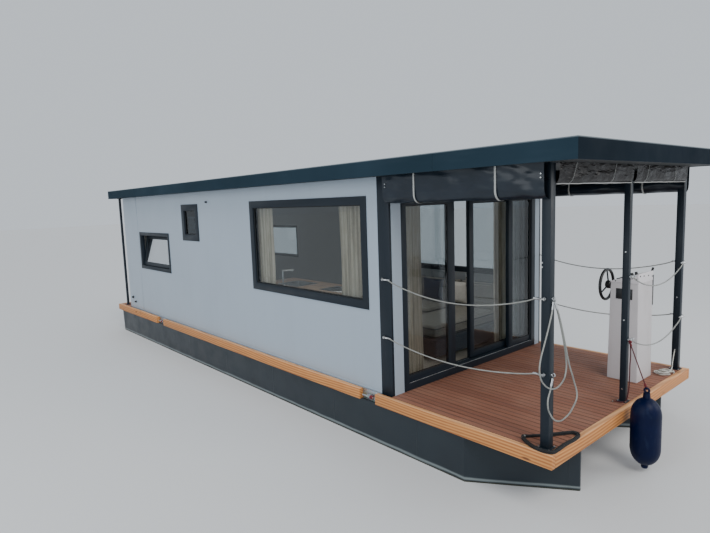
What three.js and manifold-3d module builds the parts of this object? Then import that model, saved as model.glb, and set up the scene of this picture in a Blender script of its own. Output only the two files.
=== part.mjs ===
// Houseboat on two pontoons, in millimetres: +X is the bow, +Y is port, +Z is up.
// The origin is under the middle of the boat, level with the flat bottoms of the pontoons.
import * as THREE from 'three';
import { mergeVertices } from 'three/addons/utils/BufferGeometryUtils.js';
import Module from 'manifold-3d';

const wasm = await Module();
wasm.setup();

// Driving dimensions of the hull and deck
const LENGTH = 9755;            // over the rub rails
const BEAM = 3000;              // over the rub rails
const DECK = 870;               // deck and rail top above the pontoon bottoms
const RAIL_TALL = 113;
const RAIL_THICK = 55;
const BOARD_THICK = 25;
const BOARD_PITCH = 144.5;
const FIT = 0.3;                // gap kept between pieces that touch

// Reach past the rails, which sets where the middle of the boat is
const FENDER_WIDE = 250;
const FENDER_GAP = 40;
const FENDER_REACH = FENDER_WIDE + FENDER_GAP;
const MOTOR_REACH = 812;
const BOW = (LENGTH + MOTOR_REACH - FENDER_REACH) / 2;
const STERN = BOW - LENGTH;
const SIDE = BEAM / 2;

// Pontoons: wide box hulls with a wedge bow, a raked stern and a rising forefoot
const PONTOON_WIDE = 1160;
const PONTOON_OUT = SIDE - 30;
const HULL_TOP = DECK - RAIL_TALL;
const WEDGE_LONG = 768;
const NOSE = BOW - 68;

// Cabin
const FRONT = BOW - 1743;
const AFT = BOW - 9234;
const WALL_OUT = 1415;
const WALL_THICK = 60;
const WALL_IN = WALL_OUT - WALL_THICK;
const POST_LONG = 161;          // corner post along the side
const POST_WIDE = 28;           // corner post across the front
const FLOOR_TOP = DECK + 15;
const ROOF_UNDER = DECK + 2222;
const ROOF_TOP = DECK + 2373;
const ROOF_SIDE = 1600;
const ROOF_FRONT = BOW + 214;
const ROOF_AFT = BOW - 9527;
const FASCIA_THICK = 15;
const FASCIA_LOW = ROOF_UNDER - 4;

const boat = new THREE.Group();

const paint = (color, roughness, metalness = 0) => new THREE.MeshStandardMaterial({ color, roughness, metalness });
const hullPaint = paint(0x2b343b, 0.45, 0.2);
const frameSteel = paint(0x20272d, 0.5, 0.3);
const timber = paint(0xc68a4c, 0.7);
const boards = paint(0x8a5540, 0.75);
const panel = paint(0xa3adb6, 0.35);
const anthracite = paint(0x262f36, 0.4, 0.2);
const lightFloor = paint(0xb9b4aa, 0.5);
const consoleWhite = paint(0xc9c6c8, 0.5);
const blackRubber = paint(0x15171a, 0.5);
const tarpFilm = paint(0x1d2126, 0.25);
const ropeWhite = paint(0xb8b8b4, 0.8);
const lanyardRed = paint(0x5a2730, 0.8);
const blackRope = paint(0x17181a, 0.85);
const fenderNavy = paint(0x16233f, 0.4);
const motorGrey = paint(0x3a3f45, 0.35, 0.2);
const alloy = paint(0x8c9196, 0.35, 0.8);
const cloth = paint(0x5d646b, 0.95);
const linen = paint(0xcbbfa8, 0.95);
const navyCloth = paint(0x1e2a45, 0.95);
const whiteCloth = paint(0xd8d6d0, 0.95);
const wood = paint(0xc2a074, 0.6);

// Solids and meshes

function solid(geometry) {
  const bare = geometry.clone();
  bare.deleteAttribute('normal');
  bare.deleteAttribute('uv');
  const merged = mergeVertices(bare, 1e-3);
  return new wasm.Manifold(new wasm.Mesh({
    numProp: 3,
    vertProperties: new Float32Array(merged.attributes.position.array),
    triVerts: new Uint32Array(merged.index.array),
  }));
}

function surface(body) {
  const mesh = body.getMesh();
  const geometry = new THREE.BufferGeometry();
  geometry.setAttribute('position', new THREE.BufferAttribute(new Float32Array(mesh.vertProperties), 3));
  geometry.setIndex(new THREE.BufferAttribute(new Uint32Array(mesh.triVerts), 1));
  geometry.computeVertexNormals();
  return geometry;
}

const joined = (bodies) => bodies.reduce((sum, body) => sum.add(body));
const cut = (body, tools) => tools.reduce((rest, tool) => rest.subtract(tool), body);

function block([x0, x1], [y0, y1], [z0, z1]) {
  const shape = new THREE.BoxGeometry(x1 - x0, y1 - y0, z1 - z0);
  return solid(shape.translate((x0 + x1) / 2, (y0 + y1) / 2, (z0 + z1) / 2));
}

// A round bar from one point to another
function bar(from, to, radius, sides = 20) {
  const a = new THREE.Vector3(...from);
  const b = new THREE.Vector3(...to);
  const shape = new THREE.CylinderGeometry(radius, radius, a.distanceTo(b), sides);
  const turn = new THREE.Quaternion().setFromUnitVectors(new THREE.Vector3(0, 1, 0), b.clone().sub(a).normalize());
  shape.applyQuaternion(turn);
  const middle = a.add(b).multiplyScalar(0.5);
  return solid(shape.translate(middle.x, middle.y, middle.z));
}

// A flat outline of [x, y] points, made solid from z0 to z1
function plate(points, z0, z1) {
  const outline = new THREE.Shape(points.map(([x, y]) => new THREE.Vector2(x, y)));
  const shape = new THREE.ExtrudeGeometry(outline, { depth: z1 - z0, bevelEnabled: false });
  return solid(shape.translate(0, 0, z0));
}

// An outline of [x, z] points in side view, made solid from y0 to y1
function sideplate(points, y0, y1, bevel = 0) {
  const outline = new THREE.Shape(points.map(([x, z]) => new THREE.Vector2(x, z)));
  const shape = new THREE.ExtrudeGeometry(outline, {
    depth: y1 - y0 - 2 * bevel, bevelEnabled: bevel > 0,
    bevelThickness: bevel, bevelSize: bevel, bevelOffset: -bevel, bevelSegments: 3,
  });
  shape.rotateX(Math.PI / 2);
  return solid(shape.translate(0, y1 - bevel, 0));
}

// A section of [y, z] points, made solid from x0 to x1
function lengthwise(points, x0, x1) {
  const outline = new THREE.Shape(points.map(([y, z]) => new THREE.Vector2(y, z)));
  const shape = new THREE.ExtrudeGeometry(outline, { depth: x1 - x0, bevelEnabled: false });
  shape.rotateX(Math.PI / 2).rotateZ(Math.PI / 2);
  return solid(shape.translate(x0, 0, 0));
}

const mirrored = (body) => body.mirror([0, 1, 0]);

function add(name, body, material) {
  const mesh = new THREE.Mesh(body.isBufferGeometry ? body : surface(body), material);
  mesh.name = name;
  boat.add(mesh);
}

// Pontoons and the deck frame

const pontoonIn = PONTOON_OUT - PONTOON_WIDE;
const pontoonMid = (PONTOON_OUT + pontoonIn) / 2;
const pontoonPlan = [
  [STERN + 150, -PONTOON_OUT], [NOSE - WEDGE_LONG, -PONTOON_OUT], [NOSE, -pontoonMid - 8],
  [NOSE, -pontoonMid + 8], [NOSE - WEDGE_LONG, -pontoonIn], [STERN + 150, -pontoonIn],
];
const pontoonSide = [
  [STERN + 150, HULL_TOP], [STERN + 200, 190], [STERN + 750, 0], [BOW - 1400, 0], [NOSE, 230], [NOSE, HULL_TOP],
];
const pontoon = plate(pontoonPlan, 0, HULL_TOP).intersect(sideplate(pontoonSide, -SIDE, 0));
add('pontoon_starboard', pontoon, hullPaint);
add('pontoon_port', mirrored(pontoon), hullPaint);

const frameLow = HULL_TOP + FIT;
const frameHigh = DECK - BOARD_THICK - FIT;
const frameOut = SIDE - RAIL_THICK - FIT;
const frameEnds = [STERN + RAIL_THICK + FIT, BOW - RAIL_THICK - FIT];
const BEAM_WIDE = 80;
const BAYS = 11;
const bayPitch = (frameEnds[1] - frameEnds[0] - BEAM_WIDE) / BAYS;
// the three open strips between the four beams that run along the boat
const STRIPS = [
  [-frameOut + BEAM_WIDE, -pontoonIn - BEAM_WIDE], [-pontoonIn, pontoonIn], [pontoonIn + BEAM_WIDE, frameOut - BEAM_WIDE],
];
const bays = [];
for (let i = 0; i < BAYS; i += 1) {
  const x = frameEnds[0] + BEAM_WIDE + i * bayPitch;
  for (const ys of STRIPS) bays.push(block([x, x + bayPitch - BEAM_WIDE], ys, [frameLow - 9, frameHigh + 9]));
}
add('deck_frame', cut(block(frameEnds, [-frameOut, frameOut], [frameLow, frameHigh]), bays), frameSteel);

// Decks: one slab each, grooved where board meets board

function boardDeck(x0, x1) {
  const SEAM_WIDE = 6;
  const SEAM_DEEP = 8;
  const half = SIDE - RAIL_THICK - FIT;
  const top = [];
  for (let y = -half + BOARD_PITCH; y < half - SEAM_WIDE; y += BOARD_PITCH) {
    top.push([y - SEAM_WIDE / 2, DECK], [y - SEAM_WIDE / 2, DECK - SEAM_DEEP]);
    top.push([y + SEAM_WIDE / 2, DECK - SEAM_DEEP], [y + SEAM_WIDE / 2, DECK]);
  }
  const low = DECK - BOARD_THICK;
  return lengthwise([[half, low], [half, DECK], ...top.reverse(), [-half, DECK], [-half, low]], x0, x1);
}
add('terrace_deck', boardDeck(FRONT + FIT, BOW - RAIL_THICK - FIT), boards);
add('aft_deck', boardDeck(STERN + RAIL_THICK + FIT, AFT - FIT), boards);

// Rub rails: timbers on a steel strip, with a cleat in each gap of the side rails

const STRIP_THICK = 6;
const RAIL_GAPS = [[BOW - 2165, BOW - 1930], [BOW - 7682, BOW - 7394]];
const railInner = SIDE - RAIL_THICK;

function sideRail() {
  const height = [HULL_TOP, DECK];
  const ends = [BOW, RAIL_GAPS[0][1], RAIL_GAPS[0][0], RAIL_GAPS[1][1], RAIL_GAPS[1][0], STERN];
  const parts = [block([STERN, BOW], [-railInner - STRIP_THICK, -railInner], height)];
  for (let i = 0; i < ends.length; i += 2) {
    parts.push(block([ends[i + 1], ends[i]], [-SIDE, -railInner - 1], height));
  }
  for (const [aft, fore] of RAIL_GAPS) {
    const x = (aft + fore) / 2;
    const z = DECK - RAIL_TALL / 2;
    parts.push(block([x - 30, x + 30], [-SIDE + 24, -railInner - 1], [z - 18, z + 18]));
    parts.push(block([x - 80, x + 80], [-SIDE + 6, -SIDE + 28], [z - 11, z + 11]));
  }
  return joined(parts);
}
const starboardRail = sideRail();
add('rail_starboard', starboardRail, timber);
add('rail_port', mirrored(starboardRail), timber);
const endRailSide = [-railInner + FIT, railInner - FIT];
add('rail_bow', block([BOW - RAIL_THICK, BOW], endRailSide, [HULL_TOP, DECK]), timber);
add('rail_stern', block([STERN, STERN + RAIL_THICK], endRailSide, [HULL_TOP, DECK]), timber);

// Windows: name: x range from the bow rail, height range above the deck, frame width
const LARGE = { x: [-4338, -2060], z: [858, 2039], frame: 90 };
const SMALL = { x: [-6483, -5887], z: [1451, 2037], frame: 100 };
const TILT = { x: [-8439, -7060], z: [854, 1553], frame: 62 };
const FLANGE_LAP = 22;          // how far a frame laps over the wall round its cut
const FLANGE_THICK = 9;
const PANE_THICK = 24;

const span = ([low, high], from, less = 0) => [from + low + less, from + high - less];

function windowCut({ x, z }) {
  return block(span(x, BOW, FLANGE_LAP), [-WALL_OUT - 50, -WALL_IN + 50], span(z, DECK, FLANGE_LAP));
}

function windowFrame({ x, z, frame }) {
  const flange = block(span(x, BOW), [-WALL_OUT - FLANGE_THICK, -WALL_OUT - FIT], span(z, DECK));
  const core = block(span(x, BOW, FLANGE_LAP + FIT), [-WALL_OUT - 1, -WALL_IN + 4], span(z, DECK, FLANGE_LAP + FIT));
  const light = block(span(x, BOW, frame), [-WALL_OUT - 50, -WALL_IN + 50], span(z, DECK, frame));
  return flange.add(core).subtract(light);
}

function windowPane({ x, z, frame }, gap) {
  const middle = -(WALL_OUT + WALL_IN) / 2;
  return block(
    span(x, BOW, frame + gap), [middle - PANE_THICK / 2, middle + PANE_THICK / 2], span(z, DECK, frame + gap),
  );
}

const fixedWindow = (size) => windowFrame(size).add(windowPane(size, -1));
add('window_large_starboard', fixedWindow(LARGE), anthracite);
add('window_small_starboard', fixedWindow(SMALL), anthracite);
add('window_tilt_frame', windowFrame(TILT), anthracite);
add('window_large_port', mirrored(fixedWindow(LARGE)), anthracite);
add('window_aft_port', mirrored(fixedWindow(TILT)), anthracite);

// The tilted sash stands in its frame on its lower edge and leans in at the top
const SASH_THICK = 40;
const SASH_LEAN = THREE.MathUtils.degToRad(9);
{
  const CLEAR = 6;
  const RIM = 58;
  const [x0, x1] = span(TILT.x, BOW, TILT.frame + CLEAR);
  const [z0, z1] = span(TILT.z, DECK, TILT.frame);
  const tall = z1 - z0 - CLEAR;
  const rim = block([x0, x1], [0, SASH_THICK], [0, tall]);
  const light = block([x0 + RIM, x1 - RIM], [-9, SASH_THICK + 9], [RIM, tall - RIM]);
  const pane = block([x0 + RIM - 1, x1 - RIM + 1], [10, 30], [RIM - 1, tall - RIM + 1]);
  const sash = surface(rim.subtract(light).add(pane));
  sash.rotateX(-SASH_LEAN);
  const heel = SASH_THICK * Math.sin(SASH_LEAN);
  sash.translate(0, -WALL_OUT + 22, z0 + heel + FIT);
  add('window_tilt_sash', sash, anthracite);
}

// Cabin walls, floor and roof

const WALL_LOW = DECK - BOARD_THICK;
const WALL_HIGH = ROOF_UNDER - FIT;
const wallHeight = [WALL_LOW, WALL_HIGH];
const POST_FACE = WALL_OUT + 3;
const POST_BACK = POST_FACE - POST_WIDE;
const sideWall = block([AFT, FRONT - POST_LONG - FIT], [-WALL_OUT, -WALL_IN], wallHeight)
  .add(block([AFT, FRONT - WALL_THICK - FIT], [-POST_BACK + FIT, -WALL_IN], wallHeight));
add('wall_starboard', cut(sideWall, [windowCut(LARGE), windowCut(SMALL), windowCut(TILT)]), panel);
add('wall_port', mirrored(cut(sideWall, [windowCut(LARGE), windowCut(TILT)])), panel);

// Sliding door sizes, used by the fore wall and the floor round it
const SLIDE_DEEP = 140;
const SLIDE_SIDE = [-1250, 1290];
const SLIDE_TOP = DECK + 2075;
const foreThick = [FRONT - WALL_THICK, FRONT];
const foreHole = block([FRONT - 200, FRONT + 90], SLIDE_SIDE, [WALL_LOW - 9, SLIDE_TOP]);
add('wall_fore', block(foreThick, [-POST_BACK + FIT, POST_BACK - FIT], wallHeight).subtract(foreHole), panel);

// Rope eyes on the corner posts and roof posts
const EYE_HEIGHTS = [DECK + 605, DECK + 1200];
const EYE_OUT = 16;
function ropeEye([x, y, z], [nx, ny]) {
  const ring = new THREE.TorusGeometry(13, 4, 6, 12);
  if (nx === 0) ring.rotateY(Math.PI / 2);
  ring.rotateX(nx === 0 ? 0 : Math.PI / 2);
  const body = solid(ring.translate(x + nx * EYE_OUT, y + ny * EYE_OUT, z));
  return body.add(bar([x - nx * 4, y - ny * 4, z], [x + nx * 5, y + ny * 5, z], 6, 8));
}
const CORNER_EYE_X = FRONT - 95;
const cornerParts = EYE_HEIGHTS.map((z) => ropeEye([CORNER_EYE_X, -POST_FACE, z], [0, -1]));
const cornerPost = joined([block([FRONT - POST_LONG, FRONT], [-POST_FACE, -POST_BACK], wallHeight), ...cornerParts]);
add('corner_post_starboard', cornerPost, anthracite);
add('corner_post_port', mirrored(cornerPost), anthracite);

// Aft wall with its inward-opening door, hung on pins at its port edge
const DOOR_HALF = 325;
const DOOR_CLEAR = 6;
const DOOR_Z = [DECK + 40, DECK + 1960];
const DOOR_PIN = [AFT + WALL_THICK + 8, DOOR_HALF + 3];
const PIN_RADIUS = 6.5;
const HINGE_HEIGHTS = [DECK + 250, DECK + 1000, DECK + 1750];
const HINGE_TALL = 60;
const doorHole = block(
  [AFT - 50, AFT + WALL_THICK + 50], [-DOOR_HALF - DOOR_CLEAR, DOOR_HALF + DOOR_CLEAR],
  [DOOR_Z[0] - DOOR_CLEAR, DOOR_Z[1] + DOOR_CLEAR],
);
const aftWall = [block([AFT, AFT + WALL_THICK], [-WALL_IN + FIT, WALL_IN - FIT], wallHeight).subtract(doorHole)];
const [pinX, pinY] = DOOR_PIN;
for (const z of HINGE_HEIGHTS) {
  aftWall.push(block([AFT + WALL_THICK - 1, pinX], [pinY + 3, pinY + 30], [z - HINGE_TALL, z]));
  aftWall.push(bar([pinX, pinY, z - HINGE_TALL], [pinX, pinY, z], PIN_RADIUS));
}
add('wall_aft', joined(aftWall), panel);

const doorX = [AFT + 8, AFT + 53];
const doorParts = [block(doorX, [-DOOR_HALF, DOOR_HALF], DOOR_Z)];
const DOOR_LIGHT = { half: 215, z: [DECK + 1050, DECK + 1800] };
const doorLight = block([AFT - 9, AFT + 90], [-DOOR_LIGHT.half, DOOR_LIGHT.half], DOOR_LIGHT.z);
doorParts[0] = doorParts[0].subtract(doorLight);
doorParts.push(block(
  [AFT + 22, AFT + 40], [-DOOR_LIGHT.half - 1, DOOR_LIGHT.half + 1], [DOOR_LIGHT.z[0] - 1, DOOR_LIGHT.z[1] + 1],
));
for (const z of HINGE_HEIGHTS) {
  doorParts.push(block([doorX[1] - 1, pinX], [pinY - 10, pinY], [z + FIT, z + HINGE_TALL]));
  doorParts.push(bar([pinX, pinY, z + FIT], [pinX, pinY, z + HINGE_TALL], PIN_RADIUS));
}
for (const [face, way] of [[doorX[0], -1], [doorX[1], 1]]) {
  const z = DECK + 960;
  doorParts.push(bar([face - way, -270, z], [face + way * 42, -270, z], 9, 10));
  doorParts.push(bar([face + way * 36, -276, z], [face + way * 36, -150, z], 9, 10));
}
add('aft_door', joined(doorParts), panel);

add('cabin_floor', block(
  [AFT + WALL_THICK + FIT, FRONT - SLIDE_DEEP - FIT], [-WALL_IN + FIT, WALL_IN - FIT], [WALL_LOW, FLOOR_TOP],
), lightFloor);

const roofPanelHigh = ROOF_TOP - 12;
const roofSpan = [ROOF_AFT + FASCIA_THICK + FIT, ROOF_FRONT - FASCIA_THICK - FIT];
const roofHalf = ROOF_SIDE - FASCIA_THICK - FIT;
add('roof_panel', block(roofSpan, [-roofHalf, roofHalf], [ROOF_UNDER, roofPanelHigh]), anthracite);
const fasciaOuter = block([ROOF_AFT, ROOF_FRONT], [-ROOF_SIDE, ROOF_SIDE], [FASCIA_LOW, ROOF_TOP]);
const fasciaInner = block(
  [ROOF_AFT + FASCIA_THICK, ROOF_FRONT - FASCIA_THICK], [-ROOF_SIDE + FASCIA_THICK, ROOF_SIDE - FASCIA_THICK],
  [FASCIA_LOW - 9, ROOF_TOP + 9],
);
add('roof_fascia', fasciaOuter.subtract(fasciaInner), anthracite);

// Sliding door: a deep frame with two fixed panes in front and the moving leaf on a track behind them
const JAMB = 80;
const SILL_TOP = DECK + 75;
const HEAD_LOW = SLIDE_TOP - 80;
const SASH_DEEP = 45;
const SASH_RAIL = 70;
const FIXED_X = FRONT - 62;
const LEAF_X = FRONT - 125;
const doorway = [SLIDE_SIDE[0] + JAMB, SLIDE_SIDE[1] - JAMB];

// A sash across the boat from y0 to y1, with its stile widths on each side
function sashRim(x, [y0, y1], [z0, z1], [low, high]) {
  const light = block([x - 9, x + SASH_DEEP + 9], [y0 + low, y1 - high], [z0 + SASH_RAIL, z1 - SASH_RAIL]);
  return block([x, x + SASH_DEEP], [y0, y1], [z0, z1]).subtract(light);
}
function sashPane(x, [y0, y1], [z0, z1], [low, high], gap) {
  return block(
    [x + 11, x + 35], [y0 + low + gap, y1 - high - gap], [z0 + SASH_RAIL + gap, z1 - SASH_RAIL - gap],
  );
}
const fixedZ = [SILL_TOP - 1, HEAD_LOW + 1];
const slideParts = [
  block([FRONT - SLIDE_DEEP, FRONT - FIT], [SLIDE_SIDE[0] + FIT, SLIDE_SIDE[1] - FIT], [WALL_LOW, SLIDE_TOP - FIT])
    .subtract(block([FRONT - 300, FRONT + 90], doorway, [SILL_TOP, HEAD_LOW])),
];
// y range and stile widths of the two fixed panes
const FIXED_PANES = [
  [[doorway[0] - 1, -370], [12, 115]],
  [[705, doorway[1] + 1], [85, 12]],
];
for (const [ys, stiles] of FIXED_PANES) {
  slideParts.push(sashRim(FIXED_X, ys, fixedZ, stiles), sashPane(FIXED_X, ys, fixedZ, stiles, -1));
}
add('slide_frame', joined(slideParts), anthracite);

// The moving leaf stands open against the port jamb, on two shoes that run on the sill
const LEAF_CLEAR = 6;
const LEAF_WIDE = 1217;
const leafY = [doorway[1] - LEAF_CLEAR - LEAF_WIDE, doorway[1] - LEAF_CLEAR];
const leafZ = [SILL_TOP + LEAF_CLEAR, HEAD_LOW - LEAF_CLEAR];
const leafStiles = [80, 80];
const leafParts = [sashRim(LEAF_X, leafY, leafZ, leafStiles), sashPane(LEAF_X, leafY, leafZ, leafStiles, -1)];
for (const y of [leafY[0] + 60, leafY[1] - 140]) {
  leafParts.push(block([LEAF_X + 12, LEAF_X + 32], [y, y + 80], [SILL_TOP + FIT, leafZ[0] + 1]));
}
const handleY = leafY[0] + 40;
for (const z of [DECK + 900, DECK + 1075]) {
  leafParts.push(block([LEAF_X - 28, LEAF_X + 1], [handleY - 9, handleY + 9], [z, z + 25]));
}
leafParts.push(block([LEAF_X - 36, LEAF_X - 20], [handleY - 9, handleY + 9], [DECK + 900, DECK + 1100]));
add('slide_leaf', joined(leafParts), anthracite);

// Roof posts at the bow with their rope eyes, and thin poles at the stern
const postZ = [DECK + FIT, ROOF_UNDER - FIT];
// name, x from the bow rail, y, width, eyes as [x side, y side]
const ROOF_POSTS = [
  ['post_starboard', -106, -1388, 72, [[-1, 0], [1, 0]]],
  ['post_middle', -100, 19, 56, [[1, 0]]],
  ['post_port', -104, 1392, 68, [[1, 0], [-1, 0]]],
];
const BASE_LAP = 16;
const BASE_THICK = 8;
for (const [name, fromBow, y, wide, eyes] of ROOF_POSTS) {
  const x = BOW + fromBow;
  const foot = wide / 2 + BASE_LAP;
  const parts = [
    block([x - wide / 2, x + wide / 2], [y - wide / 2, y + wide / 2], postZ),
    block([x - foot, x + foot], [y - foot, y + foot], [postZ[0], postZ[0] + BASE_THICK]),
  ];
  for (const [nx, ny] of eyes) {
    for (const z of EYE_HEIGHTS) parts.push(ropeEye([x + nx * wide / 2, y + ny * wide / 2, z], [nx, ny]));
  }
  add(name, joined(parts), anthracite);
}
const POLE_X = STERN + 275;
for (const [name, y] of [['pole_starboard', -1390], ['pole_port', 1390]]) {
  add(name, bar([POLE_X, y, DECK + FIT], [POLE_X, y, ROOF_UNDER - FIT], 25, 20), anthracite);
}

// Helm console: its sides taper upwards and its top rises toward the bow. The wheel is on the aft
// face and a control box with a lever on the port face.
const CONSOLE_Y = [604, 978];
const CONSOLE_AFT = BOW - 492;
const CONSOLE_FORE = BOW - 214;
const consoleSide = [
  [BOW - 510, DECK + FIT], [BOW - 202, DECK + FIT], [CONSOLE_FORE, DECK + 1143], [CONSOLE_AFT, DECK + 1055],
];
const WHEEL_Z = DECK + 983;
const WHEEL_Y = (CONSOLE_Y[0] + CONSOLE_Y[1]) / 2;
const WHEEL_X = BOW - 609;
const LEVER = [BOW - 275, DECK + 1060];
const LEVER_TOP = [BOW - 245, DECK + 1185];
const consoleParts = [
  sideplate(consoleSide, CONSOLE_Y[0], CONSOLE_Y[1]),
  bar([CONSOLE_AFT - 18, WHEEL_Y, WHEEL_Z], [CONSOLE_AFT + 9, WHEEL_Y, WHEEL_Z], 38, 20),
  block([LEVER[0] - 40, LEVER[0] + 40], [CONSOLE_Y[1] - 1, CONSOLE_Y[1] + 32], [DECK + 830, LEVER[1] + 40]),
  bar([LEVER[0], CONSOLE_Y[1] + 30, LEVER[1]], [LEVER[0], CONSOLE_Y[1] + 50, LEVER[1]], 14, 12),
  bar([LEVER[0], CONSOLE_Y[1] + 44, LEVER[1]], [LEVER_TOP[0], CONSOLE_Y[1] + 44, LEVER_TOP[1]], 8, 10),
];
add('helm_console', joined(consoleParts), consoleWhite);

const RIM_RADIUS = 160;
const rim = new THREE.TorusGeometry(RIM_RADIUS, 13, 8, 32).rotateY(Math.PI / 2);
const wheelParts = [
  solid(rim.translate(WHEEL_X, WHEEL_Y, WHEEL_Z)),
  bar([WHEEL_X - 8, WHEEL_Y, WHEEL_Z], [WHEEL_X + 50, WHEEL_Y, WHEEL_Z], 36, 20),
  bar([WHEEL_X + 40, WHEEL_Y, WHEEL_Z], [CONSOLE_AFT - 18 - FIT, WHEEL_Y, WHEEL_Z], 13, 16),
];
for (const turn of [90, 210, 330]) {
  const angle = THREE.MathUtils.degToRad(turn);
  const away = [Math.cos(angle) * RIM_RADIUS, Math.sin(angle) * RIM_RADIUS];
  wheelParts.push(bar([WHEEL_X + 20, WHEEL_Y, WHEEL_Z], [WHEEL_X, WHEEL_Y + away[0], WHEEL_Z + away[1]], 9, 8));
}
add('steering_wheel', joined(wheelParts), blackRubber);

// Rolled tarps under the roof edge: the film hangs flat from the roof's outer side and goes round a
// roll. Outward is the sign of the outline's outer side.
const postFace = (i, way) => ROOF_POSTS[i][2] + way * (ROOF_POSTS[i][3] / 2 + 6);
// name, start [x, y], end [x, y], roll radius, bottom of the roll above the deck, outward
const TARPS = [
  ['tarp_starboard', [FRONT + 8, -1428], [BOW - 152, -1428], 84, 1948, -1],
  ['tarp_port', [FRONT + 8, 1428], [BOW - 148, 1428], 84, 1945, 1],
  ['tarp_bow_starboard', [BOW - 100, postFace(0, 1)], [BOW - 100, postFace(1, -1)], 62, 2052, -1],
  ['tarp_bow_port', [BOW - 100, postFace(1, 1)], [BOW - 100, postFace(2, -1)], 62, 2052, -1],
];
const ROLL_STEPS = Array.from({ length: 22 }, (_, i) => (-i * Math.PI) / 12);
for (const [name, [x0, y0], [x1, y1], radius, bottom, outward] of TARPS) {
  const FILM = 22;
  const middle = DECK + bottom + radius;
  const top = ROOF_UNDER - FIT;
  const roll = ROLL_STEPS.map((angle) => [radius * Math.cos(angle), middle + radius * Math.sin(angle)]);
  const outline = new THREE.Shape([[radius, top], ...roll, [radius - FILM, top]].map(([across, z]) => (
    new THREE.Vector2(outward * across, z)
  )));
  const long = Math.hypot(x1 - x0, y1 - y0);
  const shape = new THREE.ExtrudeGeometry(outline, { depth: long, bevelEnabled: false });
  shape.rotateX(Math.PI / 2).rotateZ(Math.PI / 2);
  if (y1 !== y0) shape.rotateZ(Math.PI / 2);
  add(name, shape.translate(x0, y0, 0), tarpFilm);
}

// Fender: a long balloon with an eye at the top, hung outside the bow rail
const FENDER_Y = -150;
const FENDER_X = BOW + FENDER_GAP + FENDER_WIDE / 2;
const FENDER_Z = [DECK - 480, DECK + 150];
const fenderRadius = FENDER_WIDE / 2;
// radius, height: from the bottom boss to the top neck
const FENDER_PROFILE = [
  [0, FENDER_Z[0] - 30], [28, FENDER_Z[0] - 30], [34, FENDER_Z[0]], [74, FENDER_Z[0] + 28],
  [102, FENDER_Z[0] + 66], [119, FENDER_Z[0] + 112], [fenderRadius, FENDER_Z[0] + 165],
  [fenderRadius, FENDER_Z[1] - 165], [119, FENDER_Z[1] - 112], [102, FENDER_Z[1] - 66], [74, FENDER_Z[1] - 28],
  [34, FENDER_Z[1]], [28, FENDER_Z[1] + 45], [0, FENDER_Z[1] + 45],
];
const fenderLathe = new THREE.LatheGeometry(FENDER_PROFILE.map(([r, z]) => new THREE.Vector2(r, z)), 28);
fenderLathe.rotateX(Math.PI / 2);
const fenderBody = solid(fenderLathe.translate(FENDER_X, FENDER_Y, 0));
const fenderEye = block([FENDER_X - 30, FENDER_X + 30], [FENDER_Y - 11, FENDER_Y + 11], [FENDER_Z[1] + 40, FENDER_Z[1] + 90]);
const fenderHole = bar([FENDER_X, FENDER_Y - 30, FENDER_Z[1] + 66], [FENDER_X, FENDER_Y + 30, FENDER_Z[1] + 66], 13, 12);
// Guard ropes, hung slack from eye to eye
const ROPE = 6;                 // radius
function tube(points, radius, steps, sides = 8) {
  const path = new THREE.CatmullRomCurve3(points.map((point) => new THREE.Vector3(...point)), false, 'centripetal');
  const ring = [];
  for (let i = 0; i < sides; i += 1) {
    const angle = (i / sides) * Math.PI * 2;
    ring.push(new THREE.Vector2(Math.cos(angle) * radius, Math.sin(angle) * radius));
  }
  return new THREE.ExtrudeGeometry(new THREE.Shape(ring), { extrudePath: path, steps, bevelEnabled: false });
}

// A rope from a to b whose middle hangs lower by sag, and which leaves both ends straight
const HOOK_LONG = 24;
function slack(a, b, sag, count = 15) {
  const long = Math.hypot(b[0] - a[0], b[1] - a[1]);
  const lead = HOOK_LONG / long;
  const at = (t) => a.map((value, axis) => value + (b[axis] - value) * t);
  const points = [a];
  for (let i = 0; i < count; i += 1) {
    const t = i / (count - 1);
    const point = at(lead + t * (1 - 2 * lead));
    point[2] -= sag * 4 * t * (1 - t);
    points.push(point);
  }
  return [...points, b];
}
const EYE_END = EYE_OUT + 13 + 4 + FIT;     // from the post's face to just past its eye
const RING_SIDE = 3.5 + FIT;                // from an eye's middle to a rope's end against its side
const RING_DROP = 8;
const [postA, postB, postC] = ROOF_POSTS.map(([, fromBow, y, wide]) => ({ x: BOW + fromBow, y, half: wide / 2 }));
const [eyeLow, eyeHigh] = EYE_HEIGHTS;
const cornerEyeY = WALL_OUT + EYE_OUT;
const CORNER_CLEAR = 22 + FIT;
// name, one end, other end, sag
const GUARD_ROPES = [
  ['rope_starboard_upper', [CORNER_EYE_X + CORNER_CLEAR, -cornerEyeY, eyeHigh],
    [postA.x - postA.half - EYE_END, postA.y, eyeHigh], 138],
  ['rope_starboard_lower', [CORNER_EYE_X + CORNER_CLEAR, -cornerEyeY, eyeLow],
    [postA.x - postA.half - EYE_END, postA.y, eyeLow], 98],
  ['rope_port_upper', [CORNER_EYE_X + CORNER_CLEAR, cornerEyeY, eyeHigh],
    [postC.x - postC.half - EYE_END, postC.y, eyeHigh], 138],
  ['rope_port_lower', [CORNER_EYE_X + CORNER_CLEAR, cornerEyeY, eyeLow],
    [postC.x - postC.half - EYE_END, postC.y, eyeLow], 98],
  ['rope_bow_upper', [postB.x + postB.half + EYE_OUT, postB.y + RING_SIDE, eyeHigh - RING_DROP],
    [postC.x + postC.half + EYE_OUT, postC.y - RING_SIDE, eyeHigh - RING_DROP], 150],
  ['rope_bow_lower', [postB.x + postB.half + EYE_OUT, postB.y + RING_SIDE, eyeLow - RING_DROP],
    [postC.x + postC.half + EYE_OUT, postC.y - RING_SIDE, eyeLow - RING_DROP], 150],
];
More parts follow.
